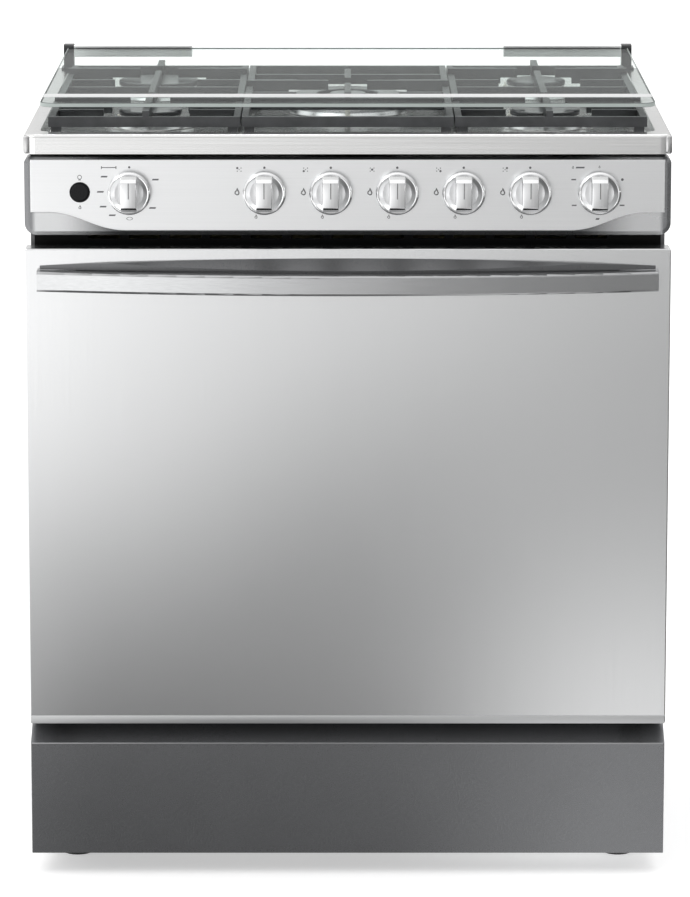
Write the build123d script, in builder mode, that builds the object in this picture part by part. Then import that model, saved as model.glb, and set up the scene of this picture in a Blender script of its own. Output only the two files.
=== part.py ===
from build123d import *
from math import cos, radians, sin
import os

os.makedirs("parts", exist_ok=True)

# A freestanding gas range, in millimetres. +Z is up and the front faces -Y.
# The origin is on the floor, under the middle of the whole range.

# overall sizes
width = 760
counter_height = 898
body_depth = 640
handle_reach = 48

# heights of the front, from the floor up; the oven door takes what is left
floor_gap = 27
drawer_height = 137
drawer_lip = 18
door_gap = 5.5
vent_gap = 15.5
panel_height = 92
panel_gap = 4.5
rim_height = 23

# body
side_inset = 5
sheet = 1.0
door_thickness = 38
gasket_gap = 4.0
hem = 4.5
screw_head = 0.6

# oven
cavity_width = 600
cavity_depth = 430
cavity_over_door_bottom = 55
cavity_under_door_top = 65
insulation = 30
burner_box = 30
rack_levels = (105, 265)
guide_wire = 2.5
rack_wire = 3.0
rack_bar = 2.0

# storage drawer
tray_side_gap = 30
tray_depth = 470
tray_floor_gap = 18
tray_wall = 96
runner_over_floor = 36

# oven door
skin = 1.2
hinge_in = 15
hinge_up = 11
arm_thickness = 4
arm_inset = 34
pin_radius = 3.0
running_gap = 0.05
handle_ends = 15
handle_height = 24
handle_drop = 25
blade = 17
finger_gap = 15

# control panel
panel_depth = 38
face_thickness = 2.0
face_inset = 8
knob_diameter = 50.7
knob_depth = 24
knob_standoff = 5
knob_height = 51.5
oven_knob_inset = 124.2
timer_inset = 85.3
switch_inset = 66
oven_to_burner_knobs = 158.2
burner_knobs_to_timer = 81
grip_width = 19
spindle_radius = 3.0
spindle_bore = 12
push_travel = 3.5
rocker_radius = 10.3

# hob
steel = 1.5
rim_width = 18
well_depth = 12
front_rim = 26
rear_rim = 40
burner_side = 238
burner_front = 178
burner_rear = 450
burner_centre = 325
head_height = 14
cap_height = 6
cap_diameters = {"left_front": 76, "left_rear": 102, "right_front": 84, "right_rear": 74}
ring_diameter = 130
ring_inner = 74
inner_cap = 46
igniter_radius = 3.2

# grates
grate_front = 45
grate_depth = 493
side_margin = 27
grate_gap = 1.6
centre_grate = 250
bar_height = 12
bar_top = 15
bar_width = 8
finger_rise = 7
finger_clear = 24
finger_over_cap = 2.5
foot_height = 4

# glass lid
glass = 5
glass_over_hob = 27
glass_front = 40
glass_side_inset = 17
glass_corner = 18
rail_length = 153
rail_height = 18
rail_width = 24
post_width = 13
post_inset = 11
band = 30
band_back = 55

# places that follow from the sizes above
door_face = (handle_reach - body_depth) / 2
back = door_face + body_depth
front = door_face + door_thickness + gasket_gap
body_x = width / 2 - side_inset
body_z = floor_gap + 1
drawer_top = floor_gap + drawer_height
lip_top = drawer_top + drawer_lip
door_z = lip_top + door_gap
rim_z = counter_height - rim_height
cover_y = back - screw_head - sheet
panel_top = rim_z - panel_gap
panel_z = panel_top - panel_height
door_top = panel_z - vent_gap
well_z = counter_height - well_depth
cavity_z = door_z + cavity_over_door_bottom
cavity_top = door_top - cavity_under_door_top
cavity_x = cavity_width / 2
frame_back = front + 1.5
cavity_back = frame_back + cavity_depth
liner_back = cavity_back + sheet
insulation_x = cavity_x + sheet + insulation
knob_z = panel_z + knob_height
hinge_y = door_face + hinge_in
hinge_z = door_z + hinge_up
runner_z = floor_gap + runner_over_floor
arm_x = body_x - arm_inset
oven_floor_z = cavity_z + burner_box
manifold_y = door_face + 76
inlet_x = insulation_x + 18
foot_x = body_x - 45
foot_ys = (front + 60, back - 60)
glass_z = counter_height + glass_over_hob
glass_x = width / 2 - glass_side_inset
post_x = width / 2 - post_inset
rail_z = glass_z - 10
lid_axis_y = back - 12
lid_axis_z = rail_z + 7
rail_y = lid_axis_y - 16

# knobs from left to right: the oven's, five burners' and the timer's
oven_knob_x = oven_knob_inset - width / 2
timer_x = width / 2 - timer_inset
first_burner_knob = oven_knob_x + oven_to_burner_knobs
knob_pitch = (timer_x - burner_knobs_to_timer - first_burner_knob) / 4
burner_names = ("left_rear", "left_front", "centre", "right_front", "right_rear")
gas_knobs = {"oven": oven_knob_x}
for place, burner_name in enumerate(burner_names):
    gas_knobs[burner_name] = first_burner_knob + place * knob_pitch
switch_x = switch_inset - width / 2

# burner centres on the hob
side_burners = {
    "left_front": (-burner_side, door_face + burner_front),
    "left_rear": (-burner_side, door_face + burner_rear),
    "right_front": (burner_side, door_face + burner_front),
    "right_rear": (burner_side, door_face + burner_rear),
}
centre_burner = (0, door_face + burner_centre)
igniter_spots = [(centre_burner[0], centre_burner[1] - ring_diameter / 2 - 13)]
for burner_name, (burner_x, burner_y) in side_burners.items():
    reach = cap_diameters[burner_name] / 2 + 12
    igniter_spots.append((burner_x - reach * cos(radians(40)), burner_y + reach * sin(radians(40))))


def block(x, y, z, mode=Mode.ADD):
    # a box between two corners, each span given as (low, high) in either order
    spans = [sorted(span) for span in (x, y, z)]
    middle = [(low + high) / 2 for low, high in spans]
    with Locations(tuple(middle)):
        Box(*[high - low for low, high in spans], mode=mode)


def front_plane(y):
    # a sketch plane whose local x and y are the range's x and z, facing the front
    return Plane.XZ.offset(-y)


def rod(start, end, radius, mode=Mode.ADD):
    # a round bar between two points
    axis = Vector(*end) - Vector(*start)
    with Locations(Plane(origin=start, z_dir=axis)):
        Cylinder(radius, axis.length, align=(Align.CENTER, Align.CENTER, Align.MIN), mode=mode)


# side panels: outer sheet, front hem, rear flange, and a ledge under the cooktop
for side, sign in (("left", -1), ("right", 1)):
    with BuildPart() as side_panel:
        outer, inner = sign * body_x, sign * (body_x - sheet)
        block((outer, inner), (front, cover_y), (body_z, rim_z))
        block((outer, sign * (body_x - hem)), (front, frame_back), (body_z, rim_z))
        block((outer, sign * (body_x - 20)), (frame_back, frame_back + sheet), (body_z, rim_z))
        block(
            (sign * (body_x - hem), sign * (body_x - 21)),
            (frame_back - 1, frame_back + sheet + 1),
            (runner_z + 1, runner_z + 6),
            Mode.SUBTRACT,
        )
        block((outer, sign * (body_x - 14)), (cover_y - sheet, cover_y), (body_z, rim_z))
        block((outer, sign * (body_x - 14)), (front, cover_y), (rim_z - sheet, rim_z))
        block((outer, sign * (body_x - 20)), (front, cover_y), (body_z, body_z + sheet))
        for rib_z in (body_z + 90, rim_z - 120):
            block((inner, sign * (body_x - 3)), (front + 90, back - 90), (rib_z, rib_z + 8))
        fillet(side_panel.edges().filter_by(Axis.Z).group_by(Axis.X)[-1 if sign > 0 else 0], 0.8)
    side_panel.part.label = f"side_panel_{side}"
    export_step(side_panel.part, f"parts/side_panel_{side}.step")

# back cover with louvre slots, stiffening ribs and the opening round the gas inlet
with BuildPart() as back_cover:
    block((-body_x, body_x), (cover_y, cover_y + sheet), (body_z + 2, rim_z - 1))
    with BuildSketch(front_plane(cover_y)):
        with Locations((0, rim_z - 95)):
            with GridLocations(46, 14, 12, 3):
                SlotOverall(34, 4)
        with Locations((0, body_z + 95)):
            with GridLocations(46, 14, 12, 2):
                SlotOverall(34, 4)
        with Locations((inlet_x, knob_z)):
            Circle(15)
    extrude(amount=sheet * 2, both=True, mode=Mode.SUBTRACT)
    for rib_x in (-180, 180):
        block((rib_x - 5, rib_x + 5), (cover_y - 1.5, cover_y), (body_z + 130, rim_z - 140))
    with BuildSketch(front_plane(cover_y)):
        with Locations((0, (body_z + rim_z) / 2)):
            with GridLocations(2 * (body_x - 8), (rim_z - body_z - 80) / 3, 2, 4):
                Circle(3.4)
    extrude(amount=-sheet - screw_head)
back_cover.part.label = "back_cover"
export_step(back_cover.part, "parts/back_cover.step")

# base pan with turned-up edges, vent slots and the holes for the feet
with BuildPart() as base_pan:
    pan_x = body_x - sheet
    pan_front, pan_back = front + 8, cover_y - sheet
    floor_z = body_z + sheet
    block((-pan_x, pan_x), (pan_front, pan_back), (floor_z, floor_z + sheet))
    for edge_y in (pan_front, pan_back - sheet):
        block((-pan_x, pan_x), (edge_y, edge_y + sheet), (floor_z, floor_z + 12))
    for sign in (-1, 1):
        block((sign * pan_x, sign * (pan_x - sheet)), (pan_front, pan_back), (floor_z, floor_z + 12))
    with BuildSketch(Plane.XY.offset(floor_z - 1)):
        with Locations((0, (front + back) / 2)):
            with GridLocations(90, 120, 6, 4):
                SlotOverall(56, 8)
        for foot_y in foot_ys:
            with Locations((-foot_x, foot_y), (foot_x, foot_y)):
                Circle(5.3)
    extrude(amount=sheet + 2, mode=Mode.SUBTRACT)
base_pan.part.label = "base_pan"
export_step(base_pan.part, "parts/base_pan.step")

# levelling feet: a round pad, a threaded stem and the nut on top of the base pan
with BuildPart() as levelling_feet:
    for foot_y in foot_ys:
        for foot_centre in ((-foot_x, foot_y), (foot_x, foot_y)):
            with BuildSketch(Plane.XY):
                with Locations(foot_centre):
                    Circle(18)
            extrude(amount=9, taper=12)
            with BuildSketch(Plane.XY.offset(9)):
                with Locations(foot_centre):
                    RegularPolygon(11, 6)
            extrude(amount=6)
            with BuildSketch(Plane.XY.offset(15)):
                with Locations(foot_centre):
                    Circle(5)
            extrude(amount=floor_z + sheet - 15 + 9)
            with BuildSketch(Plane.XY.offset(floor_z + sheet)):
                with Locations(foot_centre):
                    RegularPolygon(8.5, 6)
            extrude(amount=6)
levelling_feet.part.label = "levelling_feet"
export_step(levelling_feet.part, "parts/levelling_feet.step")

# front frame round the oven mouth, with the air slots in its top rail
frame_x = body_x - hem - 0.2
frame_bottom = lip_top - 10
with BuildPart() as front_frame:
    with BuildSketch(front_plane(front)):
        with Locations((0, (frame_bottom + panel_z) / 2)):
            Rectangle(2 * frame_x, panel_z - frame_bottom)
        with Locations((0, (cavity_z + cavity_top) / 2)):
            RectangleRounded(cavity_width, cavity_top - cavity_z, 12, mode=Mode.SUBTRACT)
        with Locations((0, door_top + vent_gap / 2)):
            with GridLocations(48, 1, 13, 1):
                SlotOverall(38, 4.5, mode=Mode.SUBTRACT)
        for sign in (-1, 1):
            with Locations((sign * arm_x, hinge_z)):
                Rectangle(24, 18, mode=Mode.SUBTRACT)
    extrude(amount=front - frame_back)
    block((-frame_x + 20, frame_x - 20), (frame_back, frame_back + 20), (frame_bottom, frame_bottom + sheet))
    block((-frame_x + 20, frame_x - 20), (frame_back, frame_back + 26), (panel_z - sheet, panel_z))
front_frame.part.label = "front_frame"
export_step(front_frame.part, "parts/front_frame.step")

# oven liner: an enamelled box, open to the front, with holes for lamp, burner and flue
lamp_x, lamp_z = cavity_x - 70, cavity_top - 60
bake_z = cavity_z + 14
flue_y = cavity_back - 60
with BuildPart() as oven_liner:
    block((-cavity_x - sheet, cavity_x + sheet), (frame_back, liner_back), (cavity_z - sheet, cavity_top + sheet))
    fillet(oven_liner.edges().filter_by(Axis.Y), 12 + sheet)
    with BuildSketch(front_plane(frame_back)):
        with Locations((0, (cavity_z + cavity_top) / 2)):
            RectangleRounded(cavity_width, cavity_top - cavity_z, 12)
    extrude(amount=-cavity_depth, mode=Mode.SUBTRACT)
    with BuildSketch(front_plane(frame_back)):
        with Locations((0, (cavity_z + cavity_top) / 2)):
            RectangleRounded(cavity_width + 24, cavity_top - cavity_z + 24, 14)
            RectangleRounded(cavity_width, cavity_top - cavity_z, 12, mode=Mode.SUBTRACT)
    extrude(amount=-sheet)
    rod((lamp_x, cavity_back - 2, lamp_z), (lamp_x, liner_back + 2, lamp_z), 23, mode=Mode.SUBTRACT)
    rod((0, cavity_back - 2, bake_z), (0, liner_back + 2, bake_z), 12, mode=Mode.SUBTRACT)
    block((-60, 60), (flue_y - 15, flue_y + 15), (cavity_top - 2, cavity_top + sheet + 2), Mode.SUBTRACT)
oven_liner.part.label = "oven_liner"
export_step(oven_liner.part, "parts/oven_liner.step")

# mineral wool blanket round the liner
blanket_front = frame_back + sheet + 12
with BuildPart() as oven_insulation:
    block(
        (-insulation_x, insulation_x),
        (blanket_front, liner_back + insulation),
        (cavity_z - sheet - insulation, cavity_top + sheet + insulation),
    )
    fillet(oven_insulation.edges().filter_by(Axis.Y), 20)
    with BuildSketch(front_plane(blanket_front)):
        with Locations((0, (cavity_z + cavity_top) / 2)):
            RectangleRounded(cavity_width + 2.4, cavity_top - cavity_z + 2.4, 13.2)
    extrude(amount=-(liner_back + 0.2 - blanket_front), mode=Mode.SUBTRACT)
    rod((lamp_x, cavity_back, lamp_z), (lamp_x, back, lamp_z), 24, mode=Mode.SUBTRACT)
    rod((0, cavity_back, bake_z), (0, back, bake_z), 14, mode=Mode.SUBTRACT)
    block((-63, 63), (flue_y - 18, flue_y + 18), (cavity_top, cavity_top + 2 * insulation), Mode.SUBTRACT)
oven_insulation.part.label = "oven_insulation"
export_step(oven_insulation.part, "parts/oven_insulation.step")

# oven floor: a slotted plate with turned-down sides, over the bake burner
with BuildPart() as oven_floor:
    floor_x = cavity_x - 3
    block((-floor_x, floor_x), (frame_back + 12, cavity_back - 3), (oven_floor_z - sheet, oven_floor_z))
    for sign in (-1, 1):
        block(
            (sign * floor_x, sign * (floor_x - sheet)),
            (frame_back + 12, cavity_back - 3),
            (cavity_z + 13, oven_floor_z),
        )
    with BuildSketch(Plane.XY.offset(oven_floor_z)):
        with Locations((0, frame_back + cavity_depth / 2)):
            with GridLocations(2 * floor_x - 60, 60, 2, 6):
                SlotOverall(40, 8)
            with GridLocations(90, cavity_depth - 60, 5, 2):
                SlotOverall(50, 7)
    extrude(amount=-2 * sheet, mode=Mode.SUBTRACT)
oven_floor.part.label = "oven_floor"
export_step(oven_floor.part, "parts/oven_floor.step")

# wire ladders on the cavity's side walls, two rungs to each rack level
upright_x = cavity_x - guide_wire - 0.5
guide_x = upright_x - 2 * guide_wire + 0.5
guide_ends = (frame_back + 40, cavity_back - 25)
rung_zs = [oven_floor_z + level for level in (25, 105, 185, 265, 345)]
with BuildPart() as rack_guides:
    for sign in (-1, 1):
        for upright_y in guide_ends:
            rod(
                (sign * upright_x, upright_y, rung_zs[0] - 15),
                (sign * upright_x, upright_y, rung_zs[-1] + 15),
                guide_wire,
            )
            for tab_z in (rung_zs[0] + 30, rung_zs[-1] - 30):
                rod((sign * upright_x, upright_y, tab_z), (sign * cavity_x, upright_y, tab_z), guide_wire)
        for rung_z in rung_zs:
            rod(
                (sign * guide_x, guide_ends[0] - 8, rung_z),
                (sign * guide_x, guide_ends[1] + 8, rung_z),
                guide_wire,
            )
rack_guides.part.label = "rack_guides"
export_step(rack_guides.part, "parts/rack_guides.step")

# oven racks: a bent frame wire, cross bars and a lattice of thinner bars
rack_x = guide_x - 1.5
rack_ends = (guide_ends[0] - 6, guide_ends[1] - 4)
with BuildPart() as oven_racks:
    for level in rack_levels:
        rack_z = oven_floor_z + level + guide_wire + rack_wire + 0.1
        with BuildLine():
            rack_frame = FilletPolyline(
                (0, rack_ends[0], rack_z),
                (rack_x, rack_ends[0], rack_z),
                (rack_x, rack_ends[1], rack_z),
                (-rack_x, rack_ends[1], rack_z),
                (-rack_x, rack_ends[0], rack_z),
                (-0.01, rack_ends[0], rack_z),
                radius=18,
            )
        with BuildSketch(Plane(origin=rack_frame @ 0, z_dir=rack_frame % 0)):
            Circle(rack_wire)
        sweep()
        rod((-1, rack_ends[0], rack_z), (1, rack_ends[0], rack_z), rack_wire)
        for bar in range(15):
            bar_x = rack_x * (bar - 7) / 8
            rod((bar_x, rack_ends[0], rack_z), (bar_x, rack_ends[1], rack_z), rack_bar)
        for cross_y in (rack_ends[0] + 90, rack_ends[1] - 90):
            rod((4 - rack_x, cross_y, rack_z - 3), (rack_x - 4, cross_y, rack_z - 3), rack_bar)
oven_racks.part.label = "oven_racks"
export_step(oven_racks.part, "parts/oven_racks.step")

# bake burner: a pressed loop under the oven floor, slotted, and fed through the liner's back
loop_x, loop_ends = 200, (frame_back + 80, cavity_back - 80)
loop_width, loop_height = 24, 20
with BuildPart() as bake_burner:
    with BuildSketch(Plane.XY.offset(bake_z - loop_height / 2)):
        with Locations((0, sum(loop_ends) / 2)):
            RectangleRounded(2 * loop_x, loop_ends[1] - loop_ends[0], 50)
            RectangleRounded(
                2 * (loop_x - loop_width), loop_ends[1] - loop_ends[0] - 2 * loop_width, 26, mode=Mode.SUBTRACT
            )
    extrude(amount=loop_height)
    fillet(bake_burner.edges().group_by(Axis.Z)[-1], 5)
    with BuildSketch(Plane.XY.offset(bake_z + loop_height / 2)):
        with Locations((0, sum(loop_ends) / 2)):
            with GridLocations(2 * loop_x - loop_width, 16, 2, 9):
                Rectangle(12, 2)
    extrude(amount=-3, mode=Mode.SUBTRACT)
    rod((0, loop_ends[1] - 4, bake_z), (0, cavity_back + insulation + 20, bake_z), 9)
bake_burner.part.label = "bake_burner"
export_step(bake_burner.part, "parts/bake_burner.step")

# broil burner: a shallow box with a slotted face, hung under the cavity's roof
with BuildPart() as broil_burner:
    broil_y = frame_back + cavity_depth / 2 - 10
    block((-190, 190), (broil_y - 70, broil_y + 70), (cavity_top - 34, cavity_top - 14))
    fillet(broil_burner.edges().filter_by(Axis.Z), 12)
    with BuildSketch(Plane.XY.offset(cavity_top - 34)):
        with Locations((0, broil_y)):
            with GridLocations(24, 50, 14, 2):
                SlotOverall(40, 8, rotation=90)
    extrude(amount=4, mode=Mode.SUBTRACT)
    for sign in (-1, 1):
        block((sign * 165, sign * 150), (broil_y - 60, broil_y + 60), (cavity_top - 14, cavity_top))
broil_burner.part.label = "broil_burner"
export_step(broil_burner.part, "parts/broil_burner.step")

# oven lamp: domed glass and its socket, through the liner's back
with BuildPart() as oven_lamp:
    with BuildSketch(front_plane(cavity_back + 4)):
        with Locations((lamp_x, lamp_z)):
            Circle(22.5)
    extrude(amount=22, taper=8)
    fillet(oven_lamp.faces().sort_by(Axis.Y)[0].edges(), 6)
    rod((lamp_x, cavity_back + 4, lamp_z), (lamp_x, cavity_back + 40, lamp_z), 18)
oven_lamp.part.label = "oven_lamp"
export_step(oven_lamp.part, "parts/oven_lamp.step")

# door gasket: a soft rope round the oven mouth
with BuildPart() as door_gasket:
    with BuildSketch(front_plane(front)):
        with Locations((0, (cavity_z + cavity_top) / 2)):
            RectangleRounded(cavity_width + 50, cavity_top - cavity_z + 50, 30)
            RectangleRounded(cavity_width + 32, cavity_top - cavity_z + 32, 21, mode=Mode.SUBTRACT)
    extrude(amount=gasket_gap - 0.4)
    fillet(door_gasket.faces().sort_by(Axis.Y)[0].edges(), 2.4)
door_gasket.part.label = "door_gasket"
export_step(door_gasket.part, "parts/door_gasket.step")

# flue duct: up from the cavity's roof and out to the back cover's louvres
flue_top = rim_z - 65
with BuildPart() as flue_duct:
    block((-60, 60), (flue_y - 15, flue_y + 15), (cavity_top + sheet, flue_top))
    block((-60, 60), (flue_y - 15, cover_y), (flue_top - 40, flue_top))
    block(
        (-60 + sheet, 60 - sheet),
        (flue_y - 15 + sheet, flue_y + 15 - sheet),
        (cavity_top, flue_top - sheet),
        Mode.SUBTRACT,
    )
    block(
        (-60 + sheet, 60 - sheet),
        (flue_y - 15 + sheet, back),
        (flue_top - 40 + sheet, flue_top - sheet),
        Mode.SUBTRACT,
    )
flue_duct.part.label = "flue_duct"
export_step(flue_duct.part, "parts/flue_duct.step")

# cooktop: one pressed sheet with a raised rim, a sloping front and a sunken well
rim_x = width / 2
well_x = rim_x - rim_width
well_front, well_back = door_face + front_rim, back - rear_rim
well_mid, well_length = (well_front + well_back) / 2, well_back - well_front
with BuildPart() as cooktop:
    block((-rim_x, rim_x), (door_face, back), (rim_z, counter_height))
    fillet(cooktop.edges().filter_by(Axis.Z).group_by(Axis.Y)[0], 14)
    fillet(cooktop.edges().filter_by(Axis.Z).group_by(Axis.Y)[-1], 6)
    fillet(cooktop.faces().sort_by(Axis.Z)[-1].edges(), 4)
    with BuildSketch(Plane.XY.offset(counter_height)):
        with Locations((0, well_mid)):
            RectangleRounded(2 * well_x, well_length, 16)
    with BuildSketch(Plane.XY.offset(well_z)):
        with Locations((0, well_mid + 3)):
            RectangleRounded(2 * well_x - 12, well_length - 18, 12)
    loft(mode=Mode.SUBTRACT)
    block(
        (-rim_x + steel, rim_x - steel),
        (door_face + steel, back - steel),
        (rim_z - 1, well_z - steel),
        Mode.SUBTRACT,
    )
    with BuildSketch(Plane.XY.offset(well_z - steel - 1)):
        with Locations((0, (door_face + back) / 2)):
            RectangleRounded(2 * (rim_x - 5), body_depth - 10, 8)
        with Locations((0, well_mid)):
            RectangleRounded(2 * (well_x + steel), well_length + 2 * steel, 16 + steel, mode=Mode.SUBTRACT)
    extrude(amount=well_depth + 1, mode=Mode.SUBTRACT)
    for burner_x, burner_y in (*side_burners.values(), centre_burner):
        rod((burner_x, burner_y, well_z - 4), (burner_x, burner_y, well_z + 1), 18, mode=Mode.SUBTRACT)
    for spot in igniter_spots:
        rod((*spot, well_z - 4), (*spot, well_z + 2), igniter_radius + 0.3, mode=Mode.SUBTRACT)
    with BuildSketch(Plane.XY.offset(well_z)):
        for burner_name, burner_at in side_burners.items():
            with Locations(burner_at):
                Circle(cap_diameters[burner_name] / 2 + 20)
                Circle(cap_diameters[burner_name] / 2 + 17, mode=Mode.SUBTRACT)
        with Locations(centre_burner):
            Circle(ring_diameter / 2 + 20)
            Circle(ring_diameter / 2 + 17, mode=Mode.SUBTRACT)
    extrude(amount=1)
    block((-rim_x + steel, rim_x - steel), (door_face + steel, door_face + 14), (rim_z, rim_z + sheet))
    for sign in (-1, 1):
        block((sign * (rim_x - steel), sign * (body_x - 14)), (front, back - steel), (rim_z, rim_z + sheet))
cooktop.part.label = "cooktop"
export_step(cooktop.part, "parts/cooktop.step")


def flame_slots(centre, radius, count, z, height, mode=Mode.SUBTRACT):
    # radial ports cut round a burner head
    with BuildSketch(Plane.XY.offset(z)) as slots:
        with Locations(centre):
            with PolarLocations(radius, count):
                Rectangle(10, 2)
    extrude(slots.sketch, amount=height, mode=mode)


# side burner heads: a flange on the hob, a waisted bowl and a ported crown
with BuildPart() as burner_heads_side:
    for burner_name, burner_at in side_burners.items():
        crown = cap_diameters[burner_name] / 2 - 1.5
        with BuildSketch(Plane.XY.offset(well_z)):
            with Locations(burner_at):
                Circle(crown + 9)
        extrude(amount=3, taper=30)
        with BuildSketch(Plane.XY.offset(well_z + 3)):
            with Locations(burner_at):
                Circle(crown - 5)
        extrude(amount=head_height - 9, taper=-12)
        with BuildSketch(Plane.XY.offset(well_z + head_height - 6)):
            with Locations(burner_at):
                Circle(crown)
        extrude(amount=6)
        flame_slots(burner_at, crown - 1, 28, well_z + head_height - 4, 4)
        rod((*burner_at, well_z - 24), (*burner_at, well_z), 15)
burner_heads_side.part.label = "burner_heads_side"
export_step(burner_heads_side.part, "parts/burner_heads_side.step")

# centre burner head: an outer ported ring, an inner crown and three bridges
ring_r, ring_hole = ring_diameter / 2, ring_inner / 2
with BuildPart() as burner_head_centre:
    with BuildSketch(Plane.XY.offset(well_z)):
        with Locations(centre_burner):
            Circle(ring_r + 8)
    extrude(amount=4, taper=30)
    with BuildSketch(Plane.XY.offset(well_z + 4)):
        with Locations(centre_burner):
            Circle(ring_r - 1.5)
            Circle(ring_hole + 1.5, mode=Mode.SUBTRACT)
            Circle(inner_cap / 2 - 1)
    extrude(amount=head_height - 4)
    with BuildSketch(Plane.XY.offset(well_z + 4)):
        with Locations(centre_burner):
            with PolarLocations((ring_hole + inner_cap / 2) / 2, 3, start_angle=90):
                Rectangle(ring_hole - inner_cap / 2 + 6, 12)
    extrude(amount=head_height - 8)
    flame_slots(centre_burner, ring_r - 3, 40, well_z + head_height - 4, 4)
    flame_slots(centre_burner, ring_hole + 3, 18, well_z + head_height - 4, 4)
    flame_slots(centre_burner, inner_cap / 2 - 3, 14, well_z + head_height - 4, 4)
    rod((*centre_burner, well_z - 24), (*centre_burner, well_z), 15)
burner_head_centre.part.label = "burner_head_centre"
export_step(burner_head_centre.part, "parts/burner_head_centre.step")

# burner caps: four discs, the centre burner's ring and its inner disc
with BuildPart() as burner_caps:
    cap_z = well_z + head_height
    for burner_name, burner_at in side_burners.items():
        with BuildSketch(Plane.XY.offset(cap_z)):
            with Locations(burner_at):
                Circle(cap_diameters[burner_name] / 2)
        extrude(amount=cap_height)
    with BuildSketch(Plane.XY.offset(cap_z)):
        with Locations(centre_burner):
            Circle(ring_r)
            Circle(ring_hole, mode=Mode.SUBTRACT)
            Circle(inner_cap / 2)
    extrude(amount=cap_height - 1)
    rims = burner_caps.edges().filter_by(GeomType.CIRCLE).filter_by(lambda edge: edge.center().Z > cap_z + 1)
    fillet(rims, 2.5)
burner_caps.part.label = "burner_caps"
export_step(burner_caps.part, "parts/burner_caps.step")

# spark igniters: a ceramic rod with a thin metal tip beside each burner
with BuildPart() as igniters:
    for spot in igniter_spots:
        rod((*spot, well_z - 8), (*spot, well_z + head_height - 5), igniter_radius)
        rod((*spot, well_z + head_height - 5), (*spot, well_z + head_height - 1), 1)
igniters.part.label = "igniters"
export_step(igniters.part, "parts/igniters.step")

# cast iron grates: a frame, cross bars, fingers that point at the burners, and legs
grate_z = counter_height + bar_top - bar_height
grate_top = counter_height + bar_top
grate_ys = (door_face + grate_front, door_face + grate_front + grate_depth)
grate_split = centre_grate / 2
grate_outer = width / 2 - side_margin
tip_z = well_z + head_height + cap_height + finger_over_cap
cap_radii = {place: cap_diameters[name] / 2 for name, place in side_burners.items()}
cap_radii[centre_burner] = ring_diameter / 2
grates = {
    "left": (-grate_outer, -grate_split - grate_gap, [side_burners["left_front"], side_burners["left_rear"]]),
    "centre": (-grate_split, grate_split, [centre_burner]),
    "right": (grate_split + grate_gap, grate_outer, [side_burners["right_front"], side_burners["right_rear"]]),
}
leg_spots = []
for grate_name, (low_x, high_x, burners) in grates.items():
    low_y, high_y = grate_ys
    with BuildPart() as grate:
        bars = [
            ((low_x, high_x), (low_y, low_y + bar_width)),
            ((low_x, high_x), (high_y - bar_width, high_y)),
            ((low_x, low_x + bar_width), (low_y, high_y)),
            ((high_x - bar_width, high_x), (low_y, high_y)),
        ]
        # full cross bars stand between and beyond the burners
        if len(burners) == 2:
            cross_ys = [(burners[0][1] + burners[1][1]) / 2]
        else:
            cross_ys = [burners[0][1] - 118, burners[0][1] + 118]
        for cross_y in cross_ys:
            bars.append(((low_x, high_x), (cross_y - bar_width / 2, cross_y + bar_width / 2)))
        for burner_x, burner_y in burners:
            # short bars from the sides, before and behind the burner
            for stub_y in (burner_y - 62, burner_y + 62):
                bars.append(((low_x, low_x + 62), (stub_y - bar_width / 2, stub_y + bar_width / 2)))
                bars.append(((high_x - 62, high_x), (stub_y - bar_width / 2, stub_y + bar_width / 2)))
        for bar_xs, bar_ys in bars:
            block(bar_xs, bar_ys, (grate_z, grate_top))
        # four fingers point at each burner: deep outside its cap, thin and raised over it
        stops = [low_y] + sorted(cross_ys * 2) + [high_y]
        for burner_x, burner_y in burners:
            over_cap = cap_radii[(burner_x, burner_y)] + 8
            ends = {
                (-1, 0): burner_x - low_x,
                (1, 0): high_x - burner_x,
                (0, -1): burner_y - max(stop for stop in stops if stop < burner_y),
                (0, 1): min(stop for stop in stops if stop > burner_y) - burner_y,
            }
            for (step_x, step_y), far in ends.items():
                for near_end, far_end, low_z in (
                    (finger_clear, over_cap, tip_z),
                    (over_cap, far, grate_z),
                ):
                    along_x = (burner_x + step_x * near_end, burner_x + step_x * far_end)
                    along_y = (burner_y + step_y * near_end, burner_y + step_y * far_end)
                    if step_x:
                        along_y = (burner_y - bar_width / 2, burner_y + bar_width / 2)
                    else:
                        along_x = (burner_x - bar_width / 2, burner_x + bar_width / 2)
                    block(along_x, along_y, (low_z, grate_top + finger_rise))
        legs = [(x, y) for x in (low_x + 9, high_x - 9) for y in (low_y + 9, high_y - 9)]
        leg_spots += legs
        for leg_x, leg_y in legs:
            block((leg_x - 6, leg_x + 6), (leg_y - 6, leg_y + 6), (well_z + foot_height, grate_z))
        chamfer(grate.faces().filter_by(Axis.Z).sort_by(Axis.Z)[-1].edges(), 1)
    grate.part.label = f"grate_{grate_name}"
    export_step(grate.part, f"parts/grate_{grate_name}.step")

# rubber feet under the grates' legs
with BuildPart() as grate_feet:
    with BuildSketch(Plane.XY.offset(well_z)):
        with Locations(*leg_spots):
            Circle(7)
    extrude(amount=foot_height)
grate_feet.part.label = "grate_feet"
export_step(grate_feet.part, "parts/grate_feet.step")

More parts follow.
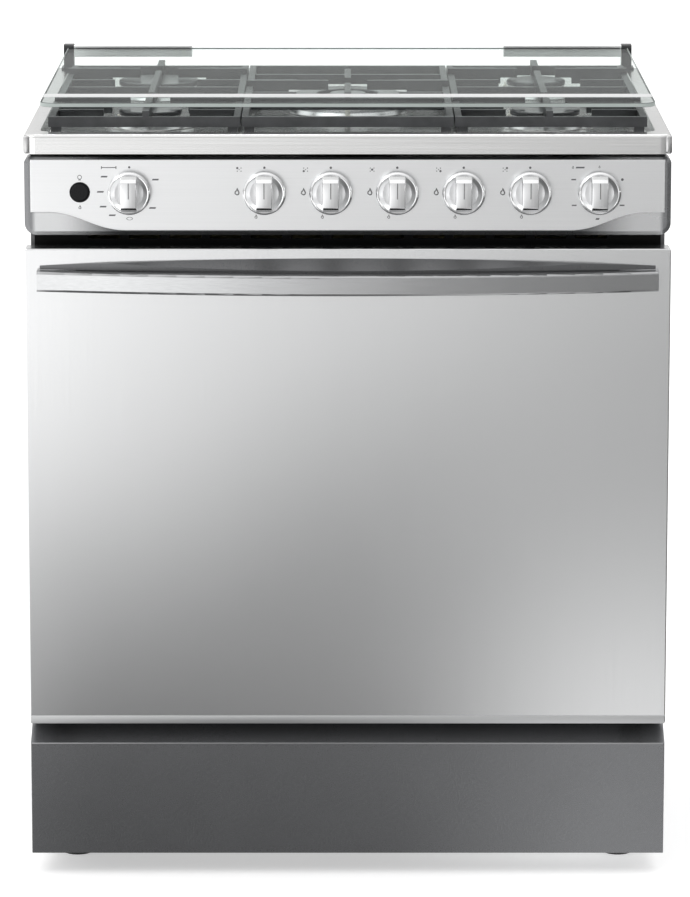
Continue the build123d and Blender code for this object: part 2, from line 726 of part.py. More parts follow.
# control panel face: a thin plate whose lower edge sweeps up to both ends
face_x = width / 2 - face_inset
face_low, face_high = panel_z + 6, panel_top - 2
face_end = panel_z + 27.5
with BuildPart() as control_panel:
    with BuildSketch(front_plane(door_face + face_thickness)):
        with BuildLine():
            Polyline((-face_x + 20, face_end), (-face_x, face_end), (-face_x, face_high), (face_x, face_high))
            Polyline((face_x, face_high), (face_x, face_end), (face_x - 20, face_end))
            Spline((face_x - 20, face_end), (face_x - 112, face_low), tangents=((-1, 0), (-1, 0)))
            Line((face_x - 112, face_low), (-face_x + 112, face_low))
            Spline((-face_x + 112, face_low), (-face_x + 20, face_end), tangents=((-1, 0), (-1, 0)))
        make_face()
        with Locations(*[(x, knob_z) for x in (*gas_knobs.values(), timer_x)]):
            Circle(spindle_radius + 3, mode=Mode.SUBTRACT)
        with Locations((switch_x, knob_z)):
            Circle(rocker_radius + 1.1, mode=Mode.SUBTRACT)
    extrude(amount=face_thickness)
    fillet(control_panel.faces().sort_by(Axis.Y)[0].outer_wire().edges(), 0.8)
control_panel.part.label = "control_panel"
export_step(control_panel.part, "parts/control_panel.step")

# panel bezel: the deep surround behind the face, bevelled along its bottom
bezel_front = door_face + face_thickness
bezel_back = door_face + panel_depth
bezel_x = width / 2 - 0.5
with BuildPart() as panel_bezel:
    block((-bezel_x, bezel_x), (bezel_front, bezel_back), (panel_z, panel_top))
    fillet(panel_bezel.edges().filter_by(Axis.Y).group_by(Axis.Z)[0], 14)
    fillet(panel_bezel.edges().filter_by(Axis.Y).group_by(Axis.Z)[-1], 7)
    chamfer(panel_bezel.faces().sort_by(Axis.Y)[0].edges(), 5)
    block(
        (-bezel_x + 3, bezel_x - 3),
        (bezel_front + 9, bezel_back + 1),
        (panel_z + 15, panel_top - 3),
        Mode.SUBTRACT,
    )
    block(
        (-bezel_x + 16, bezel_x - 16),
        (bezel_front + 9, bezel_back + 1),
        (panel_z + 2, panel_z + 16),
        Mode.SUBTRACT,
    )
    for stem_x in (*gas_knobs.values(), timer_x):
        rod((stem_x, door_face, knob_z), (stem_x, bezel_front + 12, knob_z), 8, mode=Mode.SUBTRACT)
    rod((switch_x, door_face, knob_z), (switch_x, bezel_front + 12, knob_z), 12, mode=Mode.SUBTRACT)
panel_bezel.part.label = "panel_bezel"
export_step(panel_bezel.part, "parts/panel_bezel.step")

# housing that the rocker switch turns in: a thin flange, a barrel and its terminals
with BuildPart() as switch_housing:
    rod((switch_x, door_face - 1, knob_z), (switch_x, door_face, knob_z), rocker_radius + 1.7)
    rod((switch_x, door_face, knob_z), (switch_x, door_face + 20, knob_z), rocker_radius + 1)
    rod((switch_x, door_face - 2, knob_z), (switch_x, door_face + 14, knob_z), rocker_radius + 0.5, Mode.SUBTRACT)
    for sign in (-1, 1):
        pivot_x = switch_x + sign * (rocker_radius + 0.8)
        rod((pivot_x, door_face + 4, knob_z), (pivot_x - sign * 2.8, door_face + 4, knob_z), 1.2)
        block(
            (switch_x - 4, switch_x + 4),
            (door_face + 20, door_face + 27),
            (knob_z + sign * 4, knob_z + sign * 5),
        )
switch_housing.part.label = "switch_housing"
export_step(switch_housing.part, "parts/switch_housing.step")

# rocker: a dished disc that tips about a level pivot
with BuildPart() as rocker_switch:
    rod((switch_x, door_face - 2.5, knob_z), (switch_x, door_face + 7, knob_z), rocker_radius)
    fillet(rocker_switch.faces().sort_by(Axis.Y)[0].edges(), 1.2)
    rod(
        (switch_x - rocker_radius - 1, door_face + 4, knob_z),
        (switch_x + rocker_radius + 1, door_face + 4, knob_z),
        1.2 + running_gap,
        Mode.SUBTRACT,
    )
rocker_switch.part.label = "rocker_switch"
export_step(rocker_switch.part, "parts/rocker_switch.step")

# gas manifold: a pipe behind the valves, round to the threaded inlet at the back
manifold_ends = (-body_x + 45, inlet_x)
with BuildPart() as gas_manifold:
    with BuildLine():
        FilletPolyline(
            (manifold_ends[0], manifold_y, knob_z),
            (manifold_ends[1], manifold_y, knob_z),
            (manifold_ends[1], back - 16, knob_z),
            radius=28,
        )
    with BuildSketch(Plane(origin=(manifold_ends[0], manifold_y, knob_z), z_dir=(1, 0, 0))):
        Circle(9)
    sweep()
    rod((inlet_x, back - 40, knob_z), (inlet_x, back - 16, knob_z), 12)
    rod((inlet_x, back - 16, knob_z), (inlet_x, back - 1, knob_z), 10.45)
gas_manifold.part.label = "gas_manifold"
export_step(gas_manifold.part, "parts/gas_manifold.step")

# gas valves: a body on the manifold, a neck towards the panel and an outlet on top
neck_y, valve_y = door_face + 16, door_face + 38
with BuildPart() as gas_valves:
    for stem_x in gas_knobs.values():
        block((stem_x - 13, stem_x + 13), (valve_y, manifold_y - 9.2), (knob_z - 15, knob_z + 15))
        rod((stem_x, neck_y, knob_z), (stem_x, valve_y, knob_z), 8)
        rod((stem_x, valve_y + 14, knob_z + 15), (stem_x, valve_y + 14, knob_z + 24), 5)
        rod((stem_x, neck_y - 1, knob_z), (stem_x, valve_y + 16, knob_z), spindle_radius + running_gap, Mode.SUBTRACT)
gas_valves.part.label = "gas_valves"
export_step(gas_valves.part, "parts/gas_valves.step")

# timer: a clockwork case behind the right-hand knob, with its own fixed shaft
with BuildPart() as timer:
    block((timer_x - 24, timer_x + 24), (bezel_front + 9, manifold_y - 12), (knob_z - 20, knob_z + 20))
    fillet(timer.edges().filter_by(Axis.Y), 6)
    rod(
        (timer_x, door_face - knob_standoff - spindle_bore + 1, knob_z),
        (timer_x, bezel_front + 9, knob_z),
        spindle_radius,
    )
timer.part.label = "timer"
export_step(timer.part, "parts/timer.step")

# spark module on top of the insulation
with BuildPart() as spark_module:
    module_z = cavity_top + sheet + insulation
    block((insulation_x - 110, insulation_x - 20), (back - 330, back - 280), (module_z, module_z + 34))
    fillet(spark_module.edges().filter_by(Axis.Z), 4)
    for terminal in range(5):
        terminal_x = insulation_x - 95 + terminal * 15
        rod((terminal_x, back - 305, module_z + 34), (terminal_x, back - 305, module_z + 42), 2)
spark_module.part.label = "spark_module"
export_step(spark_module.part, "parts/spark_module.step")

# posts at the cooktop's rear corners; each carries a pin for the lid
with BuildPart() as lid_hinge_posts:
    for sign in (-1, 1):
        post_xs = (sign * post_x, sign * (post_x - post_width))
        block(post_xs, (back - 24, back - 3), (counter_height, rail_z + rail_height))
        with Locations((sign * (post_x - post_width / 2), lid_axis_y, counter_height + 1.5)):
            Box(post_width + 6, 26, 3)
        rod(
            (sign * (post_x - post_width), lid_axis_y, lid_axis_z),
            (sign * (post_x - post_width - 9), lid_axis_y, lid_axis_z),
            pin_radius,
        )
    fillet(lid_hinge_posts.edges().filter_by(Axis.X).group_by(Axis.Z)[-1], 4)
lid_hinge_posts.part.label = "lid_hinge_posts"
export_step(lid_hinge_posts.part, "parts/lid_hinge_posts.step")

# lid rails: extrusions that grip the glass and turn on the posts' pins
rail_outer = post_x - post_width - 0.6
with BuildPart() as lid_rails:
    for sign in (-1, 1):
        rail_xs = (sign * rail_outer, sign * (rail_outer - rail_length))
        block(rail_xs, (rail_y, rail_y + rail_width), (rail_z, rail_z + rail_height))
    fillet(lid_rails.edges().filter_by(Axis.X), 1.5)
    for sign in (-1, 1):
        rail_xs = (sign * (rail_outer + 1), sign * (rail_outer - rail_length - 1))
        block(rail_xs, (rail_y - 1, rail_y + 9), (glass_z, glass_z + glass), Mode.SUBTRACT)
        for groove_z in (rail_z + 4, rail_z + 7.5):
            block(rail_xs, (rail_y - 1, rail_y + 0.6), (groove_z, groove_z + 0.8), Mode.SUBTRACT)
        rod(
            (sign * (rail_outer + 1), lid_axis_y, lid_axis_z),
            (sign * (rail_outer - 12), lid_axis_y, lid_axis_z),
            pin_radius + running_gap,
            Mode.SUBTRACT,
        )
lid_rails.part.label = "lid_rails"
export_step(lid_rails.part, "parts/lid_rails.step")

# lid glass: a rounded plate with a tongue into each rail
glass_ys = (door_face + glass_front, back - 27)
with BuildPart() as lid_glass:
    block((-glass_x, glass_x), glass_ys, (glass_z, glass_z + glass))
    fillet(lid_glass.edges().filter_by(Axis.Z).group_by(Axis.Y)[0], glass_corner)
    fillet(lid_glass.edges().filter_by(Axis.Z).group_by(Axis.Y)[-1], 4)
    for sign in (-1, 1):
        tongue = (sign * (rail_outer - 2), sign * (rail_outer - rail_length + 2))
        block(tongue, (glass_ys[1] - 1, rail_y + 9), (glass_z, glass_z + glass))
    chamfer(lid_glass.edges().filter_by(Axis.X).group_by(Axis.Y)[0], 1)
lid_glass.part.label = "lid_glass"
export_step(lid_glass.part, "parts/lid_glass.step")

# band across the glass near its front edge
with BuildPart() as lid_trim:
    band_y = glass_ys[0] + band_back
    block((-glass_x + 1, glass_x - 1), (band_y, band_y + band), (glass_z + glass, glass_z + glass + 0.5))
    fillet(lid_trim.edges().filter_by(Axis.Z), 3)
lid_trim.part.label = "lid_trim"
export_step(lid_trim.part, "parts/lid_trim.step")

# rails that the drawer's runners slide on, fixed to the side panels
tray_x = body_x - tray_side_gap
with BuildPart() as drawer_rails:
    for sign in (-1, 1):
        rail_x = body_x - sheet
        block((sign * rail_x, sign * (rail_x - 2)), (front + 12, back - 60), (runner_z, runner_z + 30))
        block((sign * rail_x, sign * (tray_x + 6)), (front + 12, back - 60), (runner_z, runner_z + 2))
drawer_rails.part.label = "drawer_rails"
export_step(drawer_rails.part, "parts/drawer_rails.step")

# brackets on the front frame; their pins carry the door's hinge arms
with BuildPart() as door_hinge_brackets:
    for sign in (-1, 1):
        cheek = arm_thickness / 2 + 1
        for offset in (-cheek - 3, cheek):
            block(
                (sign * arm_x + offset, sign * arm_x + offset + 3),
                (hinge_y - 6, frame_back + 10),
                (hinge_z - 6, hinge_z + 7),
            )
        block(
            (sign * arm_x - cheek - 3, sign * arm_x + cheek + 3),
            (frame_back + 8, frame_back + 10),
            (hinge_z - 6, hinge_z + 7),
        )
        block(
            (sign * arm_x - 13, sign * arm_x + 13),
            (frame_back, frame_back + 2),
            (hinge_z - 15, hinge_z - 6),
        )
        rod(
            (sign * arm_x - cheek - 3, hinge_y, hinge_z),
            (sign * arm_x + cheek + 3, hinge_y, hinge_z),
            pin_radius,
        )
door_hinge_brackets.part.label = "door_hinge_brackets"
export_step(door_hinge_brackets.part, "parts/door_hinge_brackets.step")

# door skin: a folded pan, open at the back, with a shallow line near its foot
skin_back = door_face + door_thickness - 8
with BuildPart() as door_skin:
    block((-width / 2, width / 2), (door_face, skin_back), (door_z, door_top))
    fillet(door_skin.edges().filter_by(Axis.Y), 3)
    fillet(door_skin.faces().sort_by(Axis.Y)[0].edges(), 1.6)
    block(
        (-width / 2 + skin, width / 2 - skin),
        (door_face + skin, skin_back + 1),
        (door_z + skin, door_top - skin),
        Mode.SUBTRACT,
    )
    block((-width / 2 - 1, width / 2 + 1), (door_face - 1, door_face + 0.5), (door_z + 9.5, door_z + 10.5), Mode.SUBTRACT)
    for sign in (-1, 1):
        notch_x = (sign * arm_x - 12, sign * arm_x + 12)
        block(notch_x, (door_face + 5, skin_back + 1), (door_z - 1, door_z + 2 * skin), Mode.SUBTRACT)
door_skin.part.label = "door_skin"
export_step(door_skin.part, "parts/door_skin.step")

# door liner: the enamelled inner panel, raised where it faces the oven mouth
liner_x = width / 2 - 3
plug_x, plug_low, plug_high = cavity_x - 14, cavity_z + 14, cavity_top - 14
with BuildPart() as door_liner:
    block((-liner_x, liner_x), (skin_back, skin_back + 6), (door_z + 2, door_top - 2))
    block(
        (-liner_x + sheet, liner_x - sheet),
        (skin_back - 1, skin_back + 6 - sheet),
        (door_z + 2 + sheet, door_top - 2 - sheet),
        Mode.SUBTRACT,
    )
    plug_front = skin_back + 6
    block((-plug_x, plug_x), (plug_front, plug_front + 7), (plug_low, plug_high))
    fillet(door_liner.edges().filter_by(Axis.Y).filter_by_position(Axis.X, -plug_x - 1, plug_x + 1), 12)
    block(
        (-plug_x + 5, plug_x - 5),
        (skin_back, plug_front + 7 - sheet),
        (plug_low + 5, plug_high - 5),
        Mode.SUBTRACT,
    )
    for sign in (-1, 1):
        notch_x = (sign * arm_x - 12, sign * arm_x + 12)
        block(notch_x, (skin_back - 1, skin_back + 8), (door_z, hinge_z + 28), Mode.SUBTRACT)
door_liner.part.label = "door_liner"
export_step(door_liner.part, "parts/door_liner.step")

# door insulation fills the pan between the hinge arms
with BuildPart() as door_insulation:
    wool_x = arm_x - 16
    block((-wool_x, wool_x), (door_face + skin, skin_back + 4), (door_z + 30, door_top - 14))
    fillet(door_insulation.edges().filter_by(Axis.Y), 10)
door_insulation.part.label = "door_insulation"
export_step(door_insulation.part, "parts/door_insulation.step")

# door handle: a bowed blade on two feet, drawn in plan and thickened upwards
handle_x = width / 2 - 15
handle_top = door_top - handle_drop
handle_z = handle_top - handle_height
inner_reach = handle_reach - blade
with BuildPart() as door_handle:
    with BuildSketch(Plane.XY.offset(handle_z)):
        with BuildLine():
            Line((-handle_x, door_face), (-handle_x, door_face - handle_ends))
            ThreePointArc(
                (-handle_x, door_face - handle_ends),
                (0, door_face - handle_reach),
                (handle_x, door_face - handle_ends),
            )
            Line((handle_x, door_face - handle_ends), (handle_x, door_face))
            Line((handle_x, door_face), (handle_x - 14, door_face))
            ThreePointArc(
                (handle_x - 14, door_face), (0, door_face - inner_reach), (-handle_x + 14, door_face)
            )
            Line((-handle_x + 14, door_face), (-handle_x, door_face))
        make_face()
    extrude(amount=handle_height)
    fillet(door_handle.edges().group_by(Axis.Z)[-1].filter_by(GeomType.CIRCLE), 3)
    fillet(door_handle.edges().group_by(Axis.Z)[0].filter_by(GeomType.CIRCLE), 3)
door_handle.part.label = "door_handle"
export_step(door_handle.part, "parts/door_handle.step")

# handle backing: a lens-shaped hood on the door, behind the blade
hood = inner_reach - finger_gap
hood_low, hood_high = handle_z + 2, handle_top + 13.6
hood_end = handle_top + 5
ledge_z = handle_top + 0.4
with BuildPart() as handle_backing:
    for lens_x, low_z, high_z in ((handle_x - 45, hood_low, ledge_z), (handle_x - 3, ledge_z, hood_high)):
        with BuildSketch(Plane.XY.offset(low_z)):
            with BuildLine():
                ThreePointArc((-lens_x, door_face), (0, door_face - hood), (lens_x, door_face))
                Line((lens_x, door_face), (-lens_x, door_face))
            make_face()
        extrude(amount=high_z - low_z)
    with BuildSketch(front_plane(door_face)):
        with BuildLine():
            ThreePointArc((-handle_x, hood_end), (0, hood_high), (handle_x, hood_end))
            Line((handle_x, hood_end), (handle_x, hood_high + 1))
            Line((handle_x, hood_high + 1), (-handle_x, hood_high + 1))
            Line((-handle_x, hood_high + 1), (-handle_x, hood_end))
        make_face()
    extrude(amount=hood + 1, mode=Mode.SUBTRACT)
    with BuildSketch(Plane.YZ.offset(-width / 2)):
        with BuildLine():
            Polyline(
                (door_face, hood_high),
                (door_face - hood, handle_top + 1),
                (door_face - hood, hood_high + 1),
                (door_face, hood_high + 1),
                close=True,
            )
        make_face()
    extrude(amount=width, mode=Mode.SUBTRACT)
handle_backing.part.label = "handle_backing"
export_step(handle_backing.part, "parts/handle_backing.step")

# hinge arms: eyed bars inside the door, turning on the brackets' pins
with BuildPart() as door_hinge_arms:
    for sign in (-1, 1):
        arm_xs = (sign * arm_x - arm_thickness / 2, sign * arm_x + arm_thickness / 2)
        block(arm_xs, (hinge_y - 6, hinge_y + 6), (hinge_z, hinge_z + 150))
        rod((arm_xs[0], hinge_y, hinge_z), (arm_xs[1], hinge_y, hinge_z), 6)
        rod((arm_xs[0] - 1, hinge_y, hinge_z), (arm_xs[1] + 1, hinge_y, hinge_z), pin_radius + running_gap, Mode.SUBTRACT)
        block(
            (sign * arm_x - 9, sign * arm_x + 9), (door_face + skin, hinge_y - 6), (hinge_z + 40, hinge_z + 140)
        )
door_hinge_arms.part.label = "door_hinge_arms"
export_step(door_hinge_arms.part, "parts/door_hinge_arms.step")

# drawer front: a folded pan with a lip that slopes back under the door
lip_back = door_face + 34
with BuildPart() as drawer_front:
    with BuildSketch(Plane.YZ.offset(-width / 2 + 0.5)):
        Polygon(
            (door_face, floor_gap),
            (door_face, drawer_top),
            (lip_back, lip_top),
            (lip_back + 2, lip_top),
            (lip_back + 2, floor_gap),
            align=None,
        )
    extrude(amount=width - 1)
    with BuildSketch(Plane.YZ.offset(-width / 2 + 0.5 + skin)):
        Polygon(
            (door_face + skin, floor_gap + skin),
            (door_face + skin, drawer_top - skin),
            (lip_back, lip_top - skin),
            (lip_back + 3, lip_top - skin),
            (lip_back + 3, floor_gap + skin),
            align=None,
        )
    extrude(amount=width - 1 - 2 * skin, mode=Mode.SUBTRACT)
    fillet(drawer_front.faces().sort_by(Axis.Y)[0].edges().filter_by(Axis.Z), 1)
    fillet(drawer_front.faces().sort_by(Axis.Y)[0].edges().filter_by(Axis.X).sort_by(Axis.Z)[0], 1)
drawer_front.part.label = "drawer_front"
export_step(drawer_front.part, "parts/drawer_front.step")

# drawer tray: an open box with a runner along each side
tray_z = floor_gap + tray_floor_gap
tray_front = lip_back + 2
with BuildPart() as drawer_tray:
    block((-tray_x, tray_x), (tray_front, tray_front + tray_depth), (tray_z, tray_z + tray_wall))
    block(
        (-tray_x + sheet, tray_x - sheet),
        (tray_front + sheet, tray_front + tray_depth - sheet),
        (tray_z + sheet, tray_z + tray_wall + 1),
        Mode.SUBTRACT,
    )
    for sign in (-1, 1):
        block(
            (sign * tray_x, sign * (body_x - sheet - 4)),
            (front + 14, tray_front + tray_depth),
            (runner_z + 2.3, runner_z + 4),
        )
drawer_tray.part.label = "drawer_tray"
export_step(drawer_tray.part, "parts/drawer_tray.step")

# knobs: a bevelled ring, a sunken disc and a raised grip bar, bored for the spindle
knob_back = door_face - knob_standoff
knob_r = knob_diameter / 2
for knob_name, knob_x in {**gas_knobs, "timer": timer_x}.items():
    with BuildPart() as knob:
        with BuildSketch(front_plane(knob_back)):
            with Locations((knob_x, knob_z)):
                Circle(knob_r)
        extrude(amount=5)
        with BuildSketch(front_plane(knob_back - 5)):
            with Locations((knob_x, knob_z)):
                Circle(knob_r)
        extrude(amount=4, taper=40)
        with BuildSketch(front_plane(knob_back - 7)):
            with Locations((knob_x, knob_z)):
                Circle(knob_r - 4.4)
        extrude(amount=4, mode=Mode.SUBTRACT)
        with BuildSketch(front_plane(knob_back - 7)):
            with Locations((knob_x, knob_z)):
                Rectangle(grip_width, 2 * knob_r)
                Circle(knob_r - 3.6, mode=Mode.INTERSECT)
        extrude(amount=knob_depth - 7)
        grip = knob.faces().sort_by(Axis.Y)[0]
        chamfer(grip.edges(), 2)
        rod(
            (knob_x, knob_back + 1, knob_z),
            (knob_x, knob_back - spindle_bore, knob_z),
            spindle_radius + running_gap,
            Mode.SUBTRACT,
        )
    knob.part.label = f"knob_{knob_name}"
    export_step(knob.part, f"parts/knob_{knob_name}.step")

# valve spindles: each is pushed into its valve with the knob on it
for stem_name, stem_x in gas_knobs.items():
    with BuildPart() as spindle:
        rod(
            (stem_x, knob_back - spindle_bore + 1, knob_z),
            (stem_x, valve_y + 16 - push_travel - 1, knob_z),
            spindle_radius,
        )
        rod((stem_x, neck_y - push_travel - 4.5, knob_z), (stem_x, neck_y - push_travel - 2.5, knob_z), 5.5)
    spindle.part.label = f"spindle_{stem_name}"
    export_step(spindle.part, f"parts/spindle_{stem_name}.step")
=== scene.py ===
import bpy
import bmesh
import math
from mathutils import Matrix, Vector


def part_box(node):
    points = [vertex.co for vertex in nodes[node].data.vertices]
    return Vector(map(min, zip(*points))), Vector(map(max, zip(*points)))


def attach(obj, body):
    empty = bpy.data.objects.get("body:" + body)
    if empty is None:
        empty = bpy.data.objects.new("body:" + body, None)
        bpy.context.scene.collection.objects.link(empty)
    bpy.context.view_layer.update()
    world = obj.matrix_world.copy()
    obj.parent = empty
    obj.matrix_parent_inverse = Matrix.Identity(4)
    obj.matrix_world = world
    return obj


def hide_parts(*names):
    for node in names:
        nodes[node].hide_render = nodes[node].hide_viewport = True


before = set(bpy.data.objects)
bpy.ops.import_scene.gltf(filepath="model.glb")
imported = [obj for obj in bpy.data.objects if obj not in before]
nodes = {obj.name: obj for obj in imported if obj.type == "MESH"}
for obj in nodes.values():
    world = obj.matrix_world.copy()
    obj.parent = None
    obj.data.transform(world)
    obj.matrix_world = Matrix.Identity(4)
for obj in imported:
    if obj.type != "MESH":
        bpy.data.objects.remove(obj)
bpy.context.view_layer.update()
print("stage: frame loaded,", len(nodes), "nodes")

# places read from the frame, in metres
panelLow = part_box("control_panel")[0]
doorLow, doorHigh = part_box("door_skin")
topLow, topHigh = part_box("cooktop")
glassLow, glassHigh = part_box("lid_glass")


def nodeCentre(name):
    low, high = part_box(name)
    return (low + high) / 2


cameraSettings = {
    "distance": 5.342, "height": 1.613, "pitch": 10.41, "lens": 184.8, "sensor": 36,
    "shiftUp": -0.1, "shiftSide": -0.003, "farthest": 200,
}
cameraData = bpy.data.cameras.new("rangeCamera")
cameraObject = bpy.data.objects.new("rangeCamera", cameraData)
bpy.context.scene.collection.objects.link(cameraObject)
cameraData.lens = cameraSettings["lens"]
cameraData.sensor_width = cameraSettings["sensor"]
cameraData.shift_y = cameraSettings["shiftUp"]
cameraData.shift_x = cameraSettings["shiftSide"]
cameraData.clip_end = cameraSettings["farthest"]
cameraObject.location = (0, doorLow.y - cameraSettings["distance"], cameraSettings["height"])
cameraObject.rotation_euler = (math.radians(90 - cameraSettings["pitch"]), 0, 0)
bpy.context.scene.camera = cameraObject



def newGroup(name, inputs, outputs):
    group = bpy.data.node_groups.new(name, "ShaderNodeTree")
    for socketName, kind, value in inputs:
        socket = group.interface.new_socket(socketName, in_out="INPUT", socket_type=kind)
        if value is not None:
            socket.default_value = value
    for socketName, kind in outputs:
        group.interface.new_socket(socketName, in_out="OUTPUT", socket_type=kind)
    return group, group.nodes.new("NodeGroupInput"), group.nodes.new("NodeGroupOutput")


def addNode(tree, kind, **settings):
    node = tree.nodes.new(kind)
    for key, value in settings.items():
        setattr(node, key, value)
    return node


def mathNode(tree, operation, first, second):
    node = addNode(tree, "ShaderNodeMath", operation=operation)
    for slot, value in enumerate((first, second)):
        if isinstance(value, (int, float)):
            node.inputs[slot].default_value = value
        else:
            tree.links.new(value, node.inputs[slot])
    return node.outputs[0]


def rampBetween(tree, factor, low, high, fromMin, fromMax):
    # maps a changing factor from one range of values to another
    node = addNode(tree, "ShaderNodeMapRange")
    tree.links.new(factor, node.inputs["Value"])
    ends = {"From Min": fromMin, "From Max": fromMax, "To Min": low, "To Max": high}
    for socketName, value in ends.items():
        if isinstance(value, (int, float)):
            node.inputs[socketName].default_value = value
        else:
            tree.links.new(value, node.inputs[socketName])
    return node.outputs["Result"]


def smoothStep(tree, factor, fromMin, fromMax):
    node = addNode(tree, "ShaderNodeMapRange", interpolation_type="SMOOTHSTEP")
    tree.links.new(factor, node.inputs["Value"])
    node.inputs["From Min"].default_value = fromMin
    node.inputs["From Max"].default_value = fromMax
    return node.outputs["Result"]


def mixColours(tree, factor, first, second):
    node = addNode(tree, "ShaderNodeMix", data_type="RGBA")
    tree.links.new(factor, node.inputs["Factor"])
    for socket, value in ((node.inputs[6], first), (node.inputs[7], second)):
        if isinstance(value, (tuple, list)):
            socket.default_value = value
        else:
            tree.links.new(value, socket)
    return node.outputs[2]


# fine parallel scratches of brushed sheet, with slow smears of tone across them
brushedGroup, groupIn, groupOut = newGroup(
    "brushedSheet",
    [("Vector", "NodeSocketVector", None), ("Stretch", "NodeSocketVector", (6, 900, 900)),
     ("Smear", "NodeSocketFloat", 3.0)],
    [("Grain", "NodeSocketFloat"), ("Smears", "NodeSocketFloat")],
)
stretched = addNode(brushedGroup, "ShaderNodeVectorMath", operation="MULTIPLY")
brushedGroup.links.new(groupIn.outputs["Vector"], stretched.inputs[0])
brushedGroup.links.new(groupIn.outputs["Stretch"], stretched.inputs[1])
scratches = addNode(brushedGroup, "ShaderNodeTexNoise", noise_dimensions="3D")
scratches.inputs["Scale"].default_value = 1
scratches.inputs["Detail"].default_value = 4
brushedGroup.links.new(stretched.outputs[0], scratches.inputs["Vector"])
smears = addNode(brushedGroup, "ShaderNodeTexNoise", noise_dimensions="3D")
smears.inputs["Detail"].default_value = 3
brushedGroup.links.new(groupIn.outputs["Vector"], smears.inputs["Vector"])
brushedGroup.links.new(groupIn.outputs["Smear"], smears.inputs["Scale"])
brushedGroup.links.new(scratches.outputs["Fac"], groupOut.inputs["Grain"])
brushedGroup.links.new(smears.outputs["Fac"], groupOut.inputs["Smears"])

# grains, pits and slow mottle for paint, enamel, plastic and castings
speckleGroup, groupIn, groupOut = newGroup(
    "speckle",
    [("Vector", "NodeSocketVector", None), ("Grain Scale", "NodeSocketFloat", 900.0),
     ("Mottle Scale", "NodeSocketFloat", 8.0), ("Pit Scale", "NodeSocketFloat", 260.0)],
    [("Grain", "NodeSocketFloat"), ("Mottle", "NodeSocketFloat"), ("Pits", "NodeSocketFloat")],
)
for socketName, scaleName, detail in (("Grain", "Grain Scale", 3), ("Mottle", "Mottle Scale", 4)):
    noise = addNode(speckleGroup, "ShaderNodeTexNoise", noise_dimensions="3D")
    noise.inputs["Detail"].default_value = detail
    speckleGroup.links.new(groupIn.outputs["Vector"], noise.inputs["Vector"])
    speckleGroup.links.new(groupIn.outputs[scaleName], noise.inputs["Scale"])
    speckleGroup.links.new(noise.outputs["Fac"], groupOut.inputs[socketName])
pitRim = (0.05, 0.45)  # where a pit's floor ends and its rim begins, in parts of a cell
cells = addNode(speckleGroup, "ShaderNodeTexVoronoi", feature="F1")
speckleGroup.links.new(groupIn.outputs["Vector"], cells.inputs["Vector"])
speckleGroup.links.new(groupIn.outputs["Pit Scale"], cells.inputs["Scale"])
speckleGroup.links.new(
    rampBetween(speckleGroup, cells.outputs["Distance"], 0.0, 1.0, *pitRim), groupOut.inputs["Pits"]
)
print("stage: shader groups ready")


def materialBase(name, colour, metallic, roughness, **extras):
    material = bpy.data.materials.new(name)
    material.use_nodes = True
    tree = material.node_tree
    shader = tree.nodes["Principled BSDF"]
    shader.inputs["Base Color"].default_value = (*colour, 1)
    shader.inputs["Metallic"].default_value = metallic
    shader.inputs["Roughness"].default_value = roughness
    for key, value in extras.items():
        shader.inputs[key].default_value = value
    position = addNode(tree, "ShaderNodeTexCoord").outputs["Object"]
    return material, tree, shader, position


def addBump(tree, shader, height, strength, distance):
    bump = addNode(tree, "ShaderNodeBump")
    bump.inputs["Strength"].default_value = strength
    bump.inputs["Distance"].default_value = distance
    tree.links.new(height, bump.inputs["Height"])
    tree.links.new(bump.outputs["Normal"], shader.inputs["Normal"])


noiseReach = (0.3, 0.7)  # nearly all values of a noise lie between these
bumpDepth = 0.0002
coatGloss = {"brushed": 0.12, "speckled": 0.1}


def wanderColour(tree, shader, factor, colour, spread):
    # the colour goes a little darker and lighter with the factor
    dark = tuple(max(c * (1 - spread), 0) for c in colour) + (1,)
    light = tuple(min(c * (1 + spread), 1) for c in colour) + (1,)
    mixed = mixColours(tree, rampBetween(tree, factor, 0, 1, *noiseReach), dark, light)
    tree.links.new(mixed, shader.inputs["Base Color"])


def wanderRoughness(tree, shader, factor, roughness, wander):
    mixed = rampBetween(tree, factor, roughness - wander, roughness + wander, *noiseReach)
    tree.links.new(mixed, shader.inputs["Roughness"])


def brushedMaterial(name, look):
    # sheet or extrusion with a grain along one axis
    material, tree, shader, position = materialBase(
        name, look["colour"], look.get("metallic", 1.0), look["roughness"],
        **{"Coat Weight": look.get("coat", 0.0), "Coat Roughness": coatGloss["brushed"]},
    )
    group = addNode(tree, "ShaderNodeGroup", node_tree=brushedGroup)
    tree.links.new(position, group.inputs["Vector"])
    group.inputs["Stretch"].default_value = look["stretch"]
    group.inputs["Smear"].default_value = look.get("smear", 3.0)
    wanderColour(tree, shader, group.outputs["Grain"], look["colour"], look.get("spread", 0.04))
    wanderRoughness(tree, shader, group.outputs["Smears"], look["roughness"], look.get("wander", 0.05))
    addBump(tree, shader, group.outputs["Grain"], look.get("bump", 0.05), bumpDepth)
    return material


